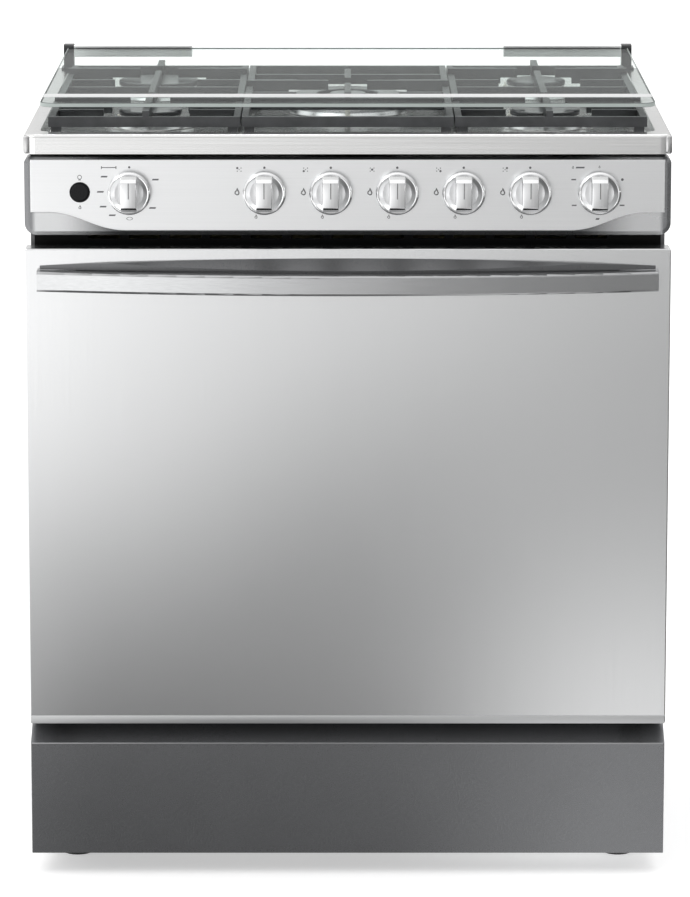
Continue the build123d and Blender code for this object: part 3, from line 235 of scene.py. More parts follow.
def speckledMaterial(name, look):
    # paint, enamel, moulded plastic, rubber and castings
    material, tree, shader, position = materialBase(
        name, look["colour"], look.get("metallic", 0.0), look["roughness"],
        **{"Coat Weight": look.get("coat", 0.0), "Coat Roughness": coatGloss["speckled"],
           "Specular IOR Level": look.get("specular", 0.5)},
    )
    group = addNode(tree, "ShaderNodeGroup", node_tree=speckleGroup)
    tree.links.new(position, group.inputs["Vector"])
    group.inputs["Grain Scale"].default_value = look.get("grain", 900.0)
    group.inputs["Mottle Scale"].default_value = look.get("mottle", 8.0)
    group.inputs["Pit Scale"].default_value = look.get("pit", 260.0)
    wanderColour(tree, shader, group.outputs["Mottle"], look["colour"], look.get("spread", 0.08))
    wanderRoughness(tree, shader, group.outputs["Grain"], look["roughness"], look.get("wander", 0.06))
    height = group.outputs["Pits"] if look.get("pitted") else group.outputs["Grain"]
    addBump(tree, shader, height, look.get("bump", 0.1), look.get("depth", bumpDepth))
    return material


def glassMaterial(name, look):
    # clear plate: the tint is slight, and smears only change how rough it is
    material, tree, shader, position = materialBase(
        name, look["colour"], 0.0, look["roughness"],
        **{"Transmission Weight": 1.0, "IOR": look["bend"], "Specular IOR Level": look["specular"]},
    )
    group = addNode(tree, "ShaderNodeGroup", node_tree=speckleGroup)
    tree.links.new(position, group.inputs["Vector"])
    group.inputs["Mottle Scale"].default_value = look["smears"]
    smeared = rampBetween(tree, group.outputs["Mottle"], 0.0, look["roughness"], *look["smearReach"])
    tree.links.new(smeared, shader.inputs["Roughness"])
    return material


brushedLooks = {
    "doorSilver": {
        "colour": (0.80, 0.805, 0.81), "roughness": 0.22, "stretch": (700, 700, 6),
        "spread": 0.012, "bump": 0.012, "wander": 0.015,
    },
    "panelSilver": {
        "colour": (0.85, 0.855, 0.86), "roughness": 0.3, "stretch": (6, 700, 700), "spread": 0.012,
        "bump": 0.012, "wander": 0.02,
    },
    # painted highlight for the drawer's fold line, twice as light as the drawer's own grey
    "foldGrey": {
        "colour": (0.42, 0.422, 0.428), "roughness": 0.4, "stretch": (6, 700, 700), "spread": 0.03,
        "bump": 0.02,
    },
    "footSilver": {
        "colour": (0.66, 0.665, 0.67), "roughness": 0.42, "stretch": (6, 700, 700), "spread": 0.02,
        "bump": 0.02,
    },
    "bandSilver": {
        "colour": (0.74, 0.745, 0.745), "roughness": 0.4, "stretch": (6, 900, 900), "spread": 0.03,
        "bump": 0.03,
    },
    # darker than the hob's steel: painted shade on the rim's rounded ends
    "rimSteel": {
        "colour": (0.56, 0.56, 0.56), "roughness": 0.26, "stretch": (300, 300, 300),
        "spread": 0.03, "bump": 0.02,
    },
    "hobSteel": {
        "colour": (0.78, 0.78, 0.775), "roughness": 0.24, "stretch": (4, 700, 700), "spread": 0.05,
        "bump": 0.05,
    },
    "handleMetal": {
        "colour": (0.50, 0.505, 0.51), "roughness": 0.2, "stretch": (4, 800, 800), "spread": 0.04,
        "bump": 0.04,
    },
    "lidAluminium": {
        "colour": (0.93, 0.935, 0.935), "roughness": 0.42, "stretch": (4, 900, 900),
        "spread": 0.05, "bump": 0.06,
    },
    "knobSatin": {
        "colour": (0.82, 0.825, 0.83), "roughness": 0.28, "stretch": (500, 500, 14),
        "spread": 0.04, "bump": 0.05,
    },
    "burnerSteel": {
        "colour": (0.33, 0.32, 0.31), "roughness": 0.42, "stretch": (20, 400, 400), "spread": 0.18,
        "bump": 0.08, "wander": 0.1,
    },
    "brightWire": {
        "colour": (0.8, 0.8, 0.8), "roughness": 0.16, "stretch": (60, 60, 60), "spread": 0.05,
        "bump": 0.02,
    },
}
speckledLooks = {
    "drawerGrey": {
        "colour": (0.212, 0.215, 0.222), "roughness": 0.3, "metallic": 0.82, "grain": 1600,
        "bump": 0.04, "spread": 0.04,
    },
    "frameBlack": {
        "colour": (0.004, 0.004, 0.0042), "roughness": 0.62, "grain": 900, "bump": 0.08,
        "spread": 0.2, "specular": 0.12,
    },
    "sideGrey": {
        "colour": (0.12, 0.122, 0.126), "roughness": 0.45, "metallic": 0.2, "grain": 1300,
        "bump": 0.08, "spread": 0.05,
    },
    # dark grey for the handle backing, much darker than the door skin around it
    "hoodGrey": {
        "colour": (0.15, 0.152, 0.156), "roughness": 0.3, "metallic": 0.6, "grain": 1500,
        "bump": 0.04, "spread": 0.05,
    },
    "galvanised": {
        "colour": (0.56, 0.57, 0.58), "roughness": 0.42, "metallic": 0.9, "grain": 240,
        "mottle": 75, "spread": 0.13, "bump": 0.05,
    },
    "blackEnamel": {
        "colour": (0.012, 0.012, 0.013), "roughness": 0.2, "coat": 0.6, "grain": 500, "bump": 0.06,
        "spread": 0.2,
    },
    "capEnamel": {
        "colour": (0.045, 0.046, 0.05), "roughness": 0.32, "coat": 0.4, "grain": 700, "bump": 0.12,
        "spread": 0.15,
    },
    "trayEnamel": {
        "colour": (0.17, 0.17, 0.175), "roughness": 0.32, "grain": 700, "mottle": 30, "bump": 0.1,
        "spread": 0.15,
    },
    "castIron": {
        "colour": (0.055, 0.057, 0.06), "roughness": 0.42, "metallic": 0.25, "grain": 420,
        "pit": 420, "pitted": True, "bump": 0.3, "depth": 0.0003, "spread": 0.25, "mottle": 40,
    },
    "castAluminium": {
        "colour": (0.78, 0.78, 0.79), "roughness": 0.3, "metallic": 1.0, "grain": 900,
        "bump": 0.16, "spread": 0.1, "mottle": 50,
    },
    "blackRubber": {
        "colour": (0.012, 0.012, 0.012), "roughness": 0.7, "grain": 1200, "bump": 0.2,
        "spread": 0.2,
    },
    "feetPlastic": {"colour": (0.02, 0.02, 0.021), "roughness": 0.5, "grain": 900, "bump": 0.15},
    "postBlack": {"colour": (0.02, 0.02, 0.022), "roughness": 0.35, "grain": 1100, "bump": 0.08},
    "switchBlack": {
        "colour": (0.005, 0.005, 0.006), "roughness": 0.3, "grain": 1500, "bump": 0.03,
        "specular": 0.2,
    },
    "mineralWool": {
        "colour": (0.62, 0.55, 0.32), "roughness": 0.95, "grain": 300, "pit": 180, "pitted": True,
        "bump": 0.8, "depth": 0.003, "spread": 0.3, "mottle": 30,
    },
    "zincPipe": {
        "colour": (0.62, 0.62, 0.58), "roughness": 0.35, "metallic": 0.9, "grain": 300,
        "mottle": 40, "spread": 0.12,
    },
    "valveBrass": {
        "colour": (0.72, 0.55, 0.24), "roughness": 0.28, "metallic": 1.0, "grain": 500,
        "mottle": 60, "spread": 0.12,
    },
    "groundEdge": {
        "colour": (0.36, 0.4, 0.385), "roughness": 0.35, "grain": 1500, "bump": 0.1,
        "spread": 0.08,
    },
    "whiteCeramic": {
        "colour": (0.82, 0.8, 0.75), "roughness": 0.3, "grain": 900, "bump": 0.05, "spread": 0.06,
    },
    "whitePlastic": {
        "colour": (0.72, 0.72, 0.68), "roughness": 0.5, "grain": 900, "bump": 0.1, "spread": 0.05,
    },
}
glassLooks = {
    "lidGlass": {
        "colour": (0.90, 0.95, 0.93), "roughness": 0.01, "bend": 1.022, "specular": 0.5,
        "smears": 5.0, "smearReach": (0.45, 0.75),
    },
    "lampGlass": {
        "colour": (0.98, 0.97, 0.93), "roughness": 0.12, "bend": 1.5, "specular": 0.5,
        "smears": 5.0, "smearReach": (0.45, 0.75),
    },
}
materials = {name: brushedMaterial(name, look) for name, look in brushedLooks.items()}
materials.update({name: speckledMaterial(name, look) for name, look in speckledLooks.items()})
materials.update({name: glassMaterial(name, look) for name, look in glassLooks.items()})

finishOf = {
    "doorSilver": ["door_skin"],
    "panelSilver": ["control_panel"],
    "hobSteel": ["cooktop"],
    "handleMetal": ["door_handle"],
    "lidAluminium": ["lid_rails"],
    "bandSilver": ["lid_trim"],
    "burnerSteel": ["bake_burner", "broil_burner"],
    "brightWire": ["rack_guides", "oven_racks"],
    "drawerGrey": ["drawer_front"],
    "sideGrey": ["side_panel_left", "side_panel_right"],
    "hoodGrey": ["handle_backing"],
    "galvanised": [
        "back_cover", "base_pan", "flue_duct", "drawer_rails", "door_hinge_brackets", "door_hinge_arms",
    ],
    "frameBlack": ["front_frame"],
    "blackEnamel": ["oven_liner", "oven_floor", "door_liner"],
    "capEnamel": ["burner_caps"],
    "trayEnamel": ["drawer_tray"],
    "castIron": ["grate_left", "grate_centre", "grate_right"],
    "castAluminium": ["burner_heads_side", "burner_head_centre"],
    "blackRubber": ["grate_feet", "door_gasket"],
    "feetPlastic": ["levelling_feet"],
    "postBlack": ["lid_hinge_posts"],
    "switchBlack": ["switch_housing", "rocker_switch"],
    "mineralWool": ["oven_insulation", "door_insulation"],
    "zincPipe": ["gas_manifold"],
    "valveBrass": ["gas_valves"] + [name for name in nodes if name.startswith("spindle_")],
    "whiteCeramic": ["igniters"],
    "whitePlastic": ["spark_module", "timer"],
    "lidGlass": ["lid_glass"],
    "lampGlass": ["oven_lamp"],
}
for finish, members in finishOf.items():
    for member in members:
        nodes[member].data.materials.clear()
        nodes[member].data.materials.append(materials[finish])

# the bezel's grey pearl paint carries painted light towards its ends and painted shade in the middle,
# standing in for its undercut lip, which faces forward at the ends and down in the middle
bezelLook = {
    "dark": (0.075, 0.077, 0.08, 1), "light": (0.62, 0.625, 0.63, 1), "cheek": (0.24, 0.243, 0.25, 1),
    "fade": (0.262, 0.345), "cheekFade": (0.366, 0.371), "metallic": 0.75, "roughness": (0.23, 0.3),
    "bump": 0.04,
}
bezelShadedPaint, tree, shader, position = materialBase(
    "bezelPearl", bezelLook["dark"][:3], bezelLook["metallic"], bezelLook["roughness"][0]
)
bezelPlace = addNode(tree, "ShaderNodeSeparateXYZ")
tree.links.new(position, bezelPlace.inputs[0])
outward = mathNode(tree, "ABSOLUTE", bezelPlace.outputs["X"], 0.0)
# painted light: this mask lightens the bezel's ends and leaves painted shade in the middle
paintedLitEnds = smoothStep(tree, outward, *bezelLook["fade"])
cheekMask = rampBetween(tree, outward, 0, 1, *bezelLook["cheekFade"])
front = mixColours(tree, paintedLitEnds, bezelLook["dark"], bezelLook["light"])
paint = mixColours(tree, cheekMask, front, bezelLook["cheek"])
tree.links.new(paint, shader.inputs["Base Color"])
speckle = addNode(tree, "ShaderNodeGroup", node_tree=speckleGroup)
tree.links.new(position, speckle.inputs["Vector"])
bezelRough = rampBetween(tree, speckle.outputs["Mottle"], *bezelLook["roughness"], *noiseReach)
tree.links.new(bezelRough, shader.inputs["Roughness"])
addBump(tree, shader, speckle.outputs["Grain"], bezelLook["bump"], bumpDepth)
nodes["panel_bezel"].data.materials.clear()
nodes["panel_bezel"].data.materials.append(bezelShadedPaint)
print("stage: finishes on the frame")



def makePiece(name, mesh, body, material, location=(0, 0, 0), smooth=True):
    piece = bpy.data.objects.new(name, mesh)
    bpy.context.scene.collection.objects.link(piece)
    piece.location = location
    if material:
        mesh.materials.append(material)
    if smooth:
        mesh.shade_smooth()
    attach(piece, body)
    return piece


def roundEdges(build, edges, radius, segments):
    bmesh.ops.bevel(
        build, geom=edges, offset=radius, segments=segments, profile=0.5, affect="EDGES", clamp_overlap=True
    )


def roundedBlock(name, low, high, radius, segments=4):
    mesh = bpy.data.meshes.new(name)
    build = bmesh.new()
    bmesh.ops.create_cube(build, size=1)
    for vertex in build.verts:
        vertex.co = Vector([(a + b) / 2 + c * (b - a) for a, b, c in zip(low, high, vertex.co)])
    roundEdges(build, list(build.edges), radius, segments)
    build.to_mesh(mesh)
    build.free()
    return mesh


def addPrism(build, outline, backY, frontY):
    # a thin inlay whose outline is a list of (x, z) points
    lowRing = [build.verts.new((x, backY, z)) for x, z in outline]
    highRing = [build.verts.new((x, frontY, z)) for x, z in outline]
    faces = [build.faces.new(highRing), build.faces.new(list(reversed(lowRing)))]
    for index in range(len(outline)):
        after = (index + 1) % len(outline)
        faces.append(build.faces.new([lowRing[index], lowRing[after], highRing[after], highRing[index]]))
    bmesh.ops.recalc_face_normals(build, faces=faces)
    return faces


def latheMesh(name, profile, steps, slotOfBand):
    # turns a profile of (radius, height) points about the range's Y axis, towards the front
    mesh = bpy.data.meshes.new(name)
    build = bmesh.new()
    rings = []
    for radius, height in profile:
        if radius < 1e-6:
            rings.append([build.verts.new((0, -height, 0))])
            continue
        ring = []
        for step in range(steps):
            angle = 2 * math.pi * step / steps
            ring.append(build.verts.new((radius * math.cos(angle), -height, radius * math.sin(angle))))
        rings.append(ring)
    for index in range(len(rings) - 1):
        first, second = rings[index], rings[index + 1]
        for step in range(steps):
            after = (step + 1) % steps
            corners = [first[step % len(first)], first[after % len(first)],
                       second[after % len(second)], second[step % len(second)]]
            unique = list(dict.fromkeys(corners))
            if len(unique) > 2:
                face = build.faces.new(unique)
                face.material_index = slotOfBand[index]
    bmesh.ops.recalc_face_normals(build, faces=build.faces)
    build.to_mesh(mesh)
    build.free()
    return mesh


knobLook = {
    "radius": 0.02535, "depth": 0.024, "ring": 0.0040, "skirt": 0.0085, "disc": 0.0052, "bowl": 0.0165,
    "gripHalfWidth": 0.0092, "gripReach": 0.0212, "gripFlat": 0.0150, "gripLow": 0.0115, "edge": 0.0007,
    "draft": 0.0009, "lineLength": 0.0185, "lineWidth": 0.0011, "lineDepth": 0.0002, "lineSink": 0.0004,
    "lineInset": 0.0006, "barSink": 0.001, "steps": 96, "sharpAngle": 32,
}
chromeLook = {
    "colour": (0.86, 0.865, 0.87), "roughness": 0.07, "stretch": (40, 40, 40), "spread": 0.03,
    "bump": 0.01, "wander": 0.03,
}
materials["chromeBevel"] = brushedMaterial("chromeBevel", chromeLook)
lineLook = {"colour": (0.11, 0.11, 0.115), "roughness": 0.5, "grain": 1500, "bump": 0.05}
materials["markInk"] = speckledMaterial("markInk", lineLook)


def knobMesh(look):
    # body: skirt, bright ring, bowl down to a satin disc
    radius, ring = look["radius"], look["ring"]
    skirt, bowl, disc = look["skirt"], look["bowl"], look["disc"]
    profile = [
        (radius - 0.0012, 0.0), (radius - 0.0003, 0.0006), (radius, 0.0018), (radius, skirt - 0.0026),
        (radius - 0.0004, skirt - 0.0018), (radius - 0.0020, skirt - 0.0003), (radius - 0.0026, skirt),
        (radius - ring + 0.0004, skirt - 0.0001), (radius - ring, skirt - 0.0005),
        (bowl + 0.0008, disc + 0.0003), (bowl, disc), (0.004, disc), (0.0, disc),
    ]
    chromeSlot, satinSlot, inkSlot = 0, 1, 2
    bandSlots = [chromeSlot] * 9 + [satinSlot] * 3
    mesh = latheMesh("knobBody", profile, look["steps"], bandSlots)
    build = bmesh.new()
    build.from_mesh(mesh)
    # grip bar: a block whose ends slope down to the ring
    half, reach, flat = look["gripHalfWidth"], look["gripReach"], look["gripFlat"]
    base, low, top = disc - look["barSink"], look["gripLow"], look["depth"]
    outline = [(-reach, base), (-reach, low), (-flat, top), (flat, top), (reach, low), (reach, base)]
    sides = []
    for sign in (-1, 1):
        sides.append([
            build.verts.new((sign * (half + look["draft"] * (top - height) / (top - base)), -height, z))
            for z, height in outline
        ])
    gripFaces = [build.faces.new(sides[0]), build.faces.new(list(reversed(sides[1])))]
    count = len(outline)
    for index in range(count):
        after = (index + 1) % count
        face = build.faces.new([sides[0][index], sides[1][index], sides[1][after], sides[0][after]])
        gripFaces.append(face)
    bmesh.ops.recalc_face_normals(build, faces=gripFaces)
    for face in gripFaces:
        face.material_index = satinSlot
    gripFaces[3].material_index = gripFaces[5].material_index = chromeSlot  # the sloping ends
    gripEdges = list(dict.fromkeys(edge for face in gripFaces for edge in face.edges))  # in a fixed order
    roundEdges(build, gripEdges, look["edge"], 3)
    # the pointer line, a thin inlay along the upper half of the bar
    lineHalf, lineTop = look["lineWidth"] / 2, flat - look["lineInset"]
    corners = [(-lineHalf, lineTop - look["lineLength"]), (lineHalf, lineTop - look["lineLength"]),
               (lineHalf, lineTop), (-lineHalf, lineTop)]
    for face in addPrism(build, corners, -top + look["lineSink"], -top - look["lineDepth"]):
        face.material_index = inkSlot
    build.to_mesh(mesh)
    build.free()
    for name in ("chromeBevel", "knobSatin", "markInk"):
        mesh.materials.append(materials[name])
    mesh.shade_smooth()
    mesh.set_sharp_from_angle(angle=math.radians(look["sharpAngle"]))
    return mesh


sharedKnob = knobMesh(knobLook)
knobNames = [name for name in nodes if name.startswith("knob_")]
for nodeName in sorted(knobNames):
    low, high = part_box(nodeName)
    place = ((low.x + high.x) / 2, high.y, (low.z + high.z) / 2)
    knob = makePiece(
        "turned" + nodeName.replace("knob_", "_"), sharedKnob, nodeName.replace("knob_", "turn_"),
        None, place, smooth=False,
    )
    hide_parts(nodeName)
print("stage: knobs")

# rounded ends of the cooktop's front rim, in a darker steel that is painted shade for the turned corners of
# the skirt
rimEnd = {"width": 0.0078, "depth": 0.020, "round": 0.0028, "drop": 0.0012, "inset": 0.0002}
for side, sign in (("left", -1), ("right", 1)):
    outer = sign * (abs(topLow.x) - rimEnd["inset"])
    xs = sorted((outer, outer - sign * rimEnd["width"]))
    endMesh = roundedBlock(
        "rimEnd" + side.title(), (xs[0], topLow.y + rimEnd["inset"], topLow.z + rimEnd["inset"]),
        (xs[1], topLow.y + rimEnd["depth"], topHigh.z - rimEnd["drop"]), rimEnd["round"],
    )
    makePiece("rim_end_" + side, endMesh, "chassis", materials["rimSteel"])

# the light strip folded along the oven door's foot
footLook = {
    "height": 0.0100, "proud": 0.0005, "sink": 0.0015, "round": 0.0006, "inset": 0.0008, "lift": 0.0003,
}
footLow = (doorLow.x + footLook["inset"], doorLow.y - footLook["proud"], doorLow.z + footLook["lift"])
footHigh = (doorHigh.x - footLook["inset"], doorLow.y + footLook["sink"], doorLow.z + footLook["height"])
footMesh = roundedBlock("doorFoot", footLow, footHigh, footLook["round"], 3)
makePiece("door_foot_strip", footMesh, "oven_door", materials["footSilver"])

# painted highlight: a lighter strip where the drawer's front folds back into its lip, standing in for the
# light its rounded edge catches
drawerLow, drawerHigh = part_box("drawer_front")
foldLook = {
    "lip": 0.018, "height": 0.0017, "proud": 0.0003, "sink": 0.0009, "round": 0.0004, "inset": 0.0012,
}
foldTop = drawerHigh.z - foldLook["lip"]
foldLow = (drawerLow.x + foldLook["inset"], drawerLow.y - foldLook["proud"], foldTop - foldLook["height"])
foldHigh = (drawerHigh.x - foldLook["inset"], drawerLow.y + foldLook["sink"], foldTop)
foldMesh = roundedBlock("drawerFold", foldLow, foldHigh, foldLook["round"], 3)
makePiece("drawer_fold_line", foldMesh, "storage_drawer", materials["foldGrey"])

# ground edges of the glass lid
edgeLook = {
    "corner": 0.018, "backCorner": 0.004, "cornerSteps": 8, "proud": 0.0002, "sink": 0.0005,
    "inset": 0.0004, "round": 0.0002, "sideSlack": 0.0001, "tongueSlack": 0.0005,
}
glassPoints = [vertex.co for vertex in nodes["lid_glass"].data.vertices]
sideEnd = max(point.y for point in glassPoints if abs(point.x) > glassHigh.x - edgeLook["sideSlack"])
plateBack = sideEnd + edgeLook["backCorner"]
tonguePoints = [point for point in glassPoints if point.y > glassHigh.y - edgeLook["tongueSlack"]]
tongueInner = min(abs(point.x) for point in tonguePoints)
edgeBottom, edgeTop = glassLow.z + edgeLook["inset"], glassHigh.z - edgeLook["inset"]


def edgePath(offset):
    # from the left side, round both front corners, to the right side
    radius = edgeLook["corner"]
    points = []
    for sign, start in ((-1, math.pi), (1, 1.5 * math.pi)):
        centreX = sign * (glassHigh.x - radius)
        centreY = glassLow.y + radius
        for step in range(edgeLook["cornerSteps"] + 1):
            angle = start + step * math.pi / 2 / edgeLook["cornerSteps"]
            reach = radius + offset
            points.append((centreX + reach * math.cos(angle), centreY + reach * math.sin(angle)))
    sideX = glassHigh.x + offset
    return [(-sideX, sideEnd)] + points + [(sideX, sideEnd)]


edge = bmesh.new()
edgeRings = []
for offset, z in ((edgeLook["proud"], edgeBottom), (edgeLook["proud"], edgeTop),
                  (-edgeLook["sink"], edgeTop), (-edgeLook["sink"], edgeBottom)):
    edgeRings.append([edge.verts.new((x, y, z)) for x, y in edgePath(offset)])
for ring, nextRing in zip(edgeRings, edgeRings[1:] + edgeRings[:1]):
    for index in range(1, len(ring)):
        edge.faces.new([ring[index - 1], ring[index], nextRing[index], nextRing[index - 1]])
edge.faces.new([ring[0] for ring in edgeRings])
edge.faces.new([ring[-1] for ring in reversed(edgeRings)])
bmesh.ops.recalc_face_normals(edge, faces=edge.faces)
edgeMesh = bpy.data.meshes.new("lidEdge")
edge.to_mesh(edgeMesh)
edge.free()
makePiece("lid_edge", edgeMesh, "glass_lid", materials["groundEdge"], smooth=False)
# the plate's back edge shows between the two tongues that go into the rails
backLow = (-tongueInner, plateBack - edgeLook["sink"], edgeBottom)
backHigh = (tongueInner, plateBack + edgeLook["proud"], edgeTop)
backEdge = roundedBlock("lidBackEdge", backLow, backHigh, edgeLook["round"], 2)
makePiece("lid_edge_back", backEdge, "glass_lid", materials["groundEdge"])
print("stage: rim ends, folds and lid edges")

# printed marks on the panel: each row is a shape, its place right of and above the centre
# of its knob or switch, and its sizes
markLook = {
    "lift": 0.00025, "sink": 0.0004, "dotSteps": 16, "ringSteps": 14,
    "spotAway": (0.0022, 0.0018), "spotSmall": 0.0006, "spotLarge": 0.0013,
    "oven": [
        ("dot", 0, 0.0295, 0.0013), ("dash", -0.024, 0.0292, 0.0165, 0.0009),
        ("dash", -0.0325, 0.0292, 0.0010, 0.0032), ("dash", -0.0155, 0.0292, 0.0010, 0.0032),
        ("dash", -0.0295, 0.0185, 0.0075, 0.0018, 0.0004), ("dash", -0.0340, 0.0005, 0.0075, 0.0018, 0.0004),
        ("dash", -0.0310, -0.0170, 0.0075, 0.0018, 0.0004),
        ("dash", -0.0203, -0.0272, 0.0075, 0.0018, 0.0004),
        ("dash", 0.0270, -0.0186, 0.0075, 0.0018, 0.0004), ("dash", 0.0306, 0.0150, 0.0075, 0.0018, 0.0004),
        ("ring", 0, -0.0312, 0.0038, 0.0008, 0.5),
    ],
    "timer": [
        ("flame", 0, 0.0298, 0.0026), ("dash", -0.0225, 0.0292, 0.0100, 0.0018, 0.0003),
        ("flame", -0.0310, 0.0292, 0.0030), ("dash", -0.0300, 0.0150, 0.0055, 0.0015),
        ("dash", -0.0292, -0.0155, 0.0055, 0.0015), ("dash", 0.0270, -0.0155, 0.0055, 0.0015),
        ("dot", 0.0270, 0.0150, 0.0016), ("dash", -0.0016, -0.0316, 0.0040, 0.0020, 0.0005),
    ],
    "burner": [
        ("dot", 0, 0.0290, 0.0014), ("locator", -0.0295, 0.0268),
        ("flame", -0.0322, 0, 0.0075), ("flame", -0.0100, -0.0292, 0.0042),
    ],
    "switch": [
        ("ring", 0, 0.0178, 0.0027, 0.0007), ("dash", 0, 0.0146, 0.0030, 0.0008),
        ("flame", 0, -0.0180, 0.0042),
    ],
}


def markPrism(build, outline, centreX, centreZ):
    placed = [(centreX + x, centreZ + z) for x, z in outline]
    addPrism(build, placed, panelLow.y + markLook["sink"], panelLow.y - markLook["lift"])


def markDot(build, x, z, radius):
    angles = [2 * math.pi * step / markLook["dotSteps"] for step in range(markLook["dotSteps"])]
    markPrism(build, [(radius * math.cos(angle), radius * math.sin(angle)) for angle in angles], x, z)


def markDash(build, x, z, length, height, slant=0.0):
    half, rise = length / 2, height / 2
    corners = [(-half - slant, -rise), (half - slant, -rise), (half + slant, rise), (-half + slant, rise)]
    markPrism(build, corners, x, z)


def markRing(build, x, z, radius, stroke, squash=1.0):
    # a ring of short prisms, for the outlines of icons
    for step in range(markLook["ringSteps"]):
        first, second = [2 * math.pi * (step + end) / markLook["ringSteps"] for end in (0, 1)]
        hollow = radius - stroke
        outer = [(radius * math.cos(a), radius * squash * math.sin(a)) for a in (first, second)]
        inner = [(hollow * math.cos(a), hollow * squash * math.sin(a)) for a in (second, first)]
        markPrism(build, outer + inner, x, z)


def markFlame(build, x, z, size):
    # a drop with a bent tip, drawn as a thick outline
    tip = [
        (0.0, 0.0), (0.30, 0.10), (0.42, 0.42), (0.28, 0.78),
        (0.02, 1.25), (-0.10, 0.86), (-0.36, 0.60), (-0.38, 0.26),
    ]
    outer = [(size * px, size * (pz - 0.5)) for px, pz in tip]
    inner = [(size * px * 0.55, size * (0.18 + pz * 0.52 - 0.5)) for px, pz in tip]
    for index in range(len(tip)):
        after = (index + 1) % len(tip)
        markPrism(build, [outer[index], outer[after], inner[after], inner[index]], x, z)


def markLocator(build, x, z, filled):
    # small discs laid out as the burners are, with a large one for the burner that the knob serves
    awayX, awayZ = markLook["spotAway"]
    spots = {
        "left_rear": (-awayX, awayZ), "left_front": (-awayX, -awayZ), "centre": (0, 0),
        "right_front": (awayX, -awayZ), "right_rear": (awayX, awayZ),
    }
    for spot, (dx, dz) in spots.items():
        markDot(build, x + dx, z + dz, markLook["spotLarge"] if spot == filled else markLook["spotSmall"])


markShapes = {
    "dot": markDot, "dash": markDash, "ring": markRing, "flame": markFlame, "locator": markLocator,
}


def drawMarks(build, nodeName, served):
    centre = nodeCentre(nodeName)
    for shape, x, z, *sizes in markLook[served if served in markLook else "burner"]:
        if shape == "locator":
            sizes = [served]
        markShapes[shape](build, centre.x + x, centre.z + z, *sizes)


marks = bmesh.new()
for nodeName in knobNames:
    drawMarks(marks, nodeName, nodeName.replace("knob_", ""))
drawMarks(marks, "switch_housing", "switch")
markMesh = bpy.data.meshes.new("panelMarks")
marks.to_mesh(markMesh)
marks.free()
makePiece("panel_marks", markMesh, "chassis", materials["markInk"], smooth=False)
print("stage: panel marks")

studio = {
    "floor": 40.0, "floorTone": 0.9, "floorGlow": 0.42, "floorRough": 0.8,
    "skyTone": (0.24, 1.2), "skyTowards": (-0.5, 0.08, 0.85), "skySpan": (-0.55, 0.85),
    "cardHeight": 0.02, "cardHalf": 14.0, "cardBack": 4.5, "cardReach": 16.0,
    "cardSpan": 10, "cardPeak": 2, "cardWiden": 0.72, "cardNear": 0.35,
}


def planeObject(name, corners):
    mesh = bpy.data.meshes.new(name)
    mesh.from_pydata(corners, [], [(0, 1, 2, 3)])
    plane = bpy.data.objects.new(name, mesh)
    bpy.context.scene.collection.objects.link(plane)
    return plane


reach = studio["floor"]
floorCorners = [(-reach, -reach, 0), (reach, -reach, 0), (reach, reach, 0), (-reach, reach, 0)]
floorObject = planeObject("studioFloor", floorCorners)
floorMaterial, tree, shader, position = materialBase(
    "studioFloor", (studio["floorTone"],) * 3, 0.0, studio["floorRough"],
    **{"Specular IOR Level": 0.1, "Emission Color": (1, 1, 1, 1), "Emission Strength": studio["floorGlow"]},
)
floorObject.data.materials.append(floorMaterial)

# the sky is brightest above the left shoulder of whoever faces the range, and dim low behind it
world = bpy.data.worlds.new("studioWorld")
bpy.context.scene.world = world
world.use_nodes = True
skyTree = world.node_tree
background = skyTree.nodes["Background"]
skyVector = addNode(skyTree, "ShaderNodeTexCoord").outputs["Generated"]
skyDot = addNode(skyTree, "ShaderNodeVectorMath", operation="DOT_PRODUCT")
skyTree.links.new(skyVector, skyDot.inputs[0])
skyDot.inputs[1].default_value = Vector(studio["skyTowards"]).normalized()
skyTree.links.new(
    rampBetween(skyTree, skyDot.outputs["Value"], *studio["skyTone"], *studio["skySpan"]),
    background.inputs["Strength"],
)
background.inputs["Color"].default_value = (1, 1, 1, 1)


def curveRamp(tree, factor, stops):
    ramp = addNode(tree, "ShaderNodeValToRGB")
    ramp.color_ramp.interpolation = "B_SPLINE"
    elements = ramp.color_ramp.elements
    while len(elements) < len(stops):
        elements.new(0.5)
    for element, (place, tone) in zip(elements, stops):
        element.position = place
        element.color = (tone, tone, tone, 1)
    tree.links.new(factor, ramp.inputs["Fac"])
    return ramp.outputs["Color"]


# a shaded card lies on the floor in front; only glossy surfaces see it
# each list gives a tone for a distance in front of the door, from left to right of the card
cardTones = {
    "farLeft": [(0.0, 1.3), (1.2, 1.2), (2.0, 1.5), (3.2, 1.9), (9.0, 1.9)],
    "left": [
        (0.0, 0.16), (0.7, 0.17), (1.1, 0.27), (1.5, 0.42), (2.0, 0.68), (2.6, 1.0), (3.4, 1.35),
        (4.4, 1.42), (5.3, 1.08), (6.4, 0.88), (9.0, 0.84),
    ],
    "middle": [
        (0.0, 0.2), (0.8, 0.28), (1.4, 0.27), (2.0, 0.33), (2.8, 0.50), (3.6, 0.86), (4.5, 1.08),
        (5.4, 0.92), (6.4, 0.76), (9.0, 0.74),
    ],
    "right": [
        (0.0, 0.85), (0.8, 0.98), (1.3, 0.72), (1.9, 0.5), (2.8, 0.42), (3.6, 0.44), (4.6, 0.5),
        (5.4, 0.66), (6.4, 0.52), (9.0, 0.5),
    ],
    "farRight": [(0.0, 0.12), (1.2, 0.2), (3.0, 0.3), (4.5, 0.42), (9.0, 0.3)],
}
cardAcross = {"farLeft": -2.0, "left": -0.85, "middle": 0.0, "right": 1.0, "farRight": 2.2}
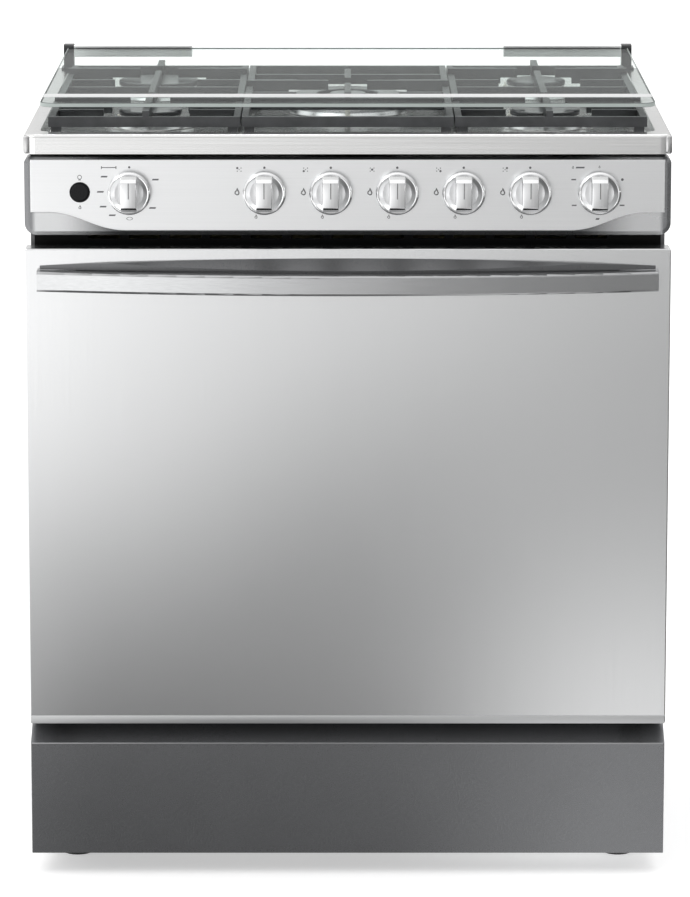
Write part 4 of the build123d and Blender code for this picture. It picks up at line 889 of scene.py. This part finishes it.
cardX, cardZ = studio["cardHalf"], studio["cardHeight"]
cardEnds = (studio["cardBack"] - studio["cardReach"], studio["cardBack"])
card = planeObject("reflectionCard", [
    (-cardX, cardEnds[0], cardZ), (cardX, cardEnds[0], cardZ),
    (cardX, cardEnds[1], cardZ), (-cardX, cardEnds[1], cardZ),
])
cardMaterial = bpy.data.materials.new("reflectionCard")
cardMaterial.use_nodes = True
tree = cardMaterial.node_tree
tree.nodes.clear()
cardOutput = addNode(tree, "ShaderNodeOutputMaterial")
glow = addNode(tree, "ShaderNodeEmission")
tree.links.new(glow.outputs[0], cardOutput.inputs["Surface"])
place = addNode(tree, "ShaderNodeSeparateXYZ")
tree.links.new(addNode(tree, "ShaderNodeTexCoord").outputs["Object"], place.inputs[0])
ahead = mathNode(tree, "SUBTRACT", doorLow.y, place.outputs["Y"])
ahead = mathNode(tree, "MAXIMUM", mathNode(tree, "MULTIPLY", ahead, 1 / studio["cardSpan"]), 0.0)
widened = mathNode(tree, "MULTIPLY", ahead, studio["cardWiden"])
across = mathNode(tree, "DIVIDE", place.outputs["X"], mathNode(tree, "ADD", widened, studio["cardNear"]))


def cardCurve(side):
    stops = [(distance / studio["cardSpan"], tone / studio["cardPeak"]) for distance, tone in cardTones[side]]
    return curveRamp(tree, ahead, stops)


cardSides = list(cardAcross)
tone = cardCurve(cardSides[0])
for first, second in zip(cardSides, cardSides[1:]):
    step = smoothStep(tree, across, cardAcross[first], cardAcross[second])
    tone = mixColours(tree, step, tone, cardCurve(second))
tree.links.new(tone, glow.inputs["Color"])
glow.inputs["Strength"].default_value = studio["cardPeak"]
card.data.materials.append(cardMaterial)
card.visible_camera = card.visible_diffuse = card.visible_shadow = card.visible_transmission = False


def addLight(name, look):
    data = bpy.data.lights.new(name, "AREA")
    data.shape = "RECTANGLE"
    data.size, data.size_y = look["size"]
    data.energy = look["power"]
    lamp = bpy.data.objects.new(name, data)
    bpy.context.scene.collection.objects.link(lamp)
    lamp.location = look["place"]
    lamp.rotation_euler = (Vector(look["aim"]) - Vector(look["place"])).to_track_quat("-Z", "Y").to_euler()
    lamp.visible_camera = False
    return lamp


lightLooks = {
    "keyLight": {"place": (-2.4, -2.6, 3.4), "aim": (0, 0, 0.7), "size": (1.6, 1.6), "power": 26},
    "rimLight": {"place": (0.6, 2.2, 3.6), "aim": (0, 0, 0.9), "size": (2.6, 0.7), "power": 20},
}
for lightName, look in lightLooks.items():
    addLight(lightName, look)
bpy.context.scene.view_settings.view_transform = "Standard"
print("stage: studio")
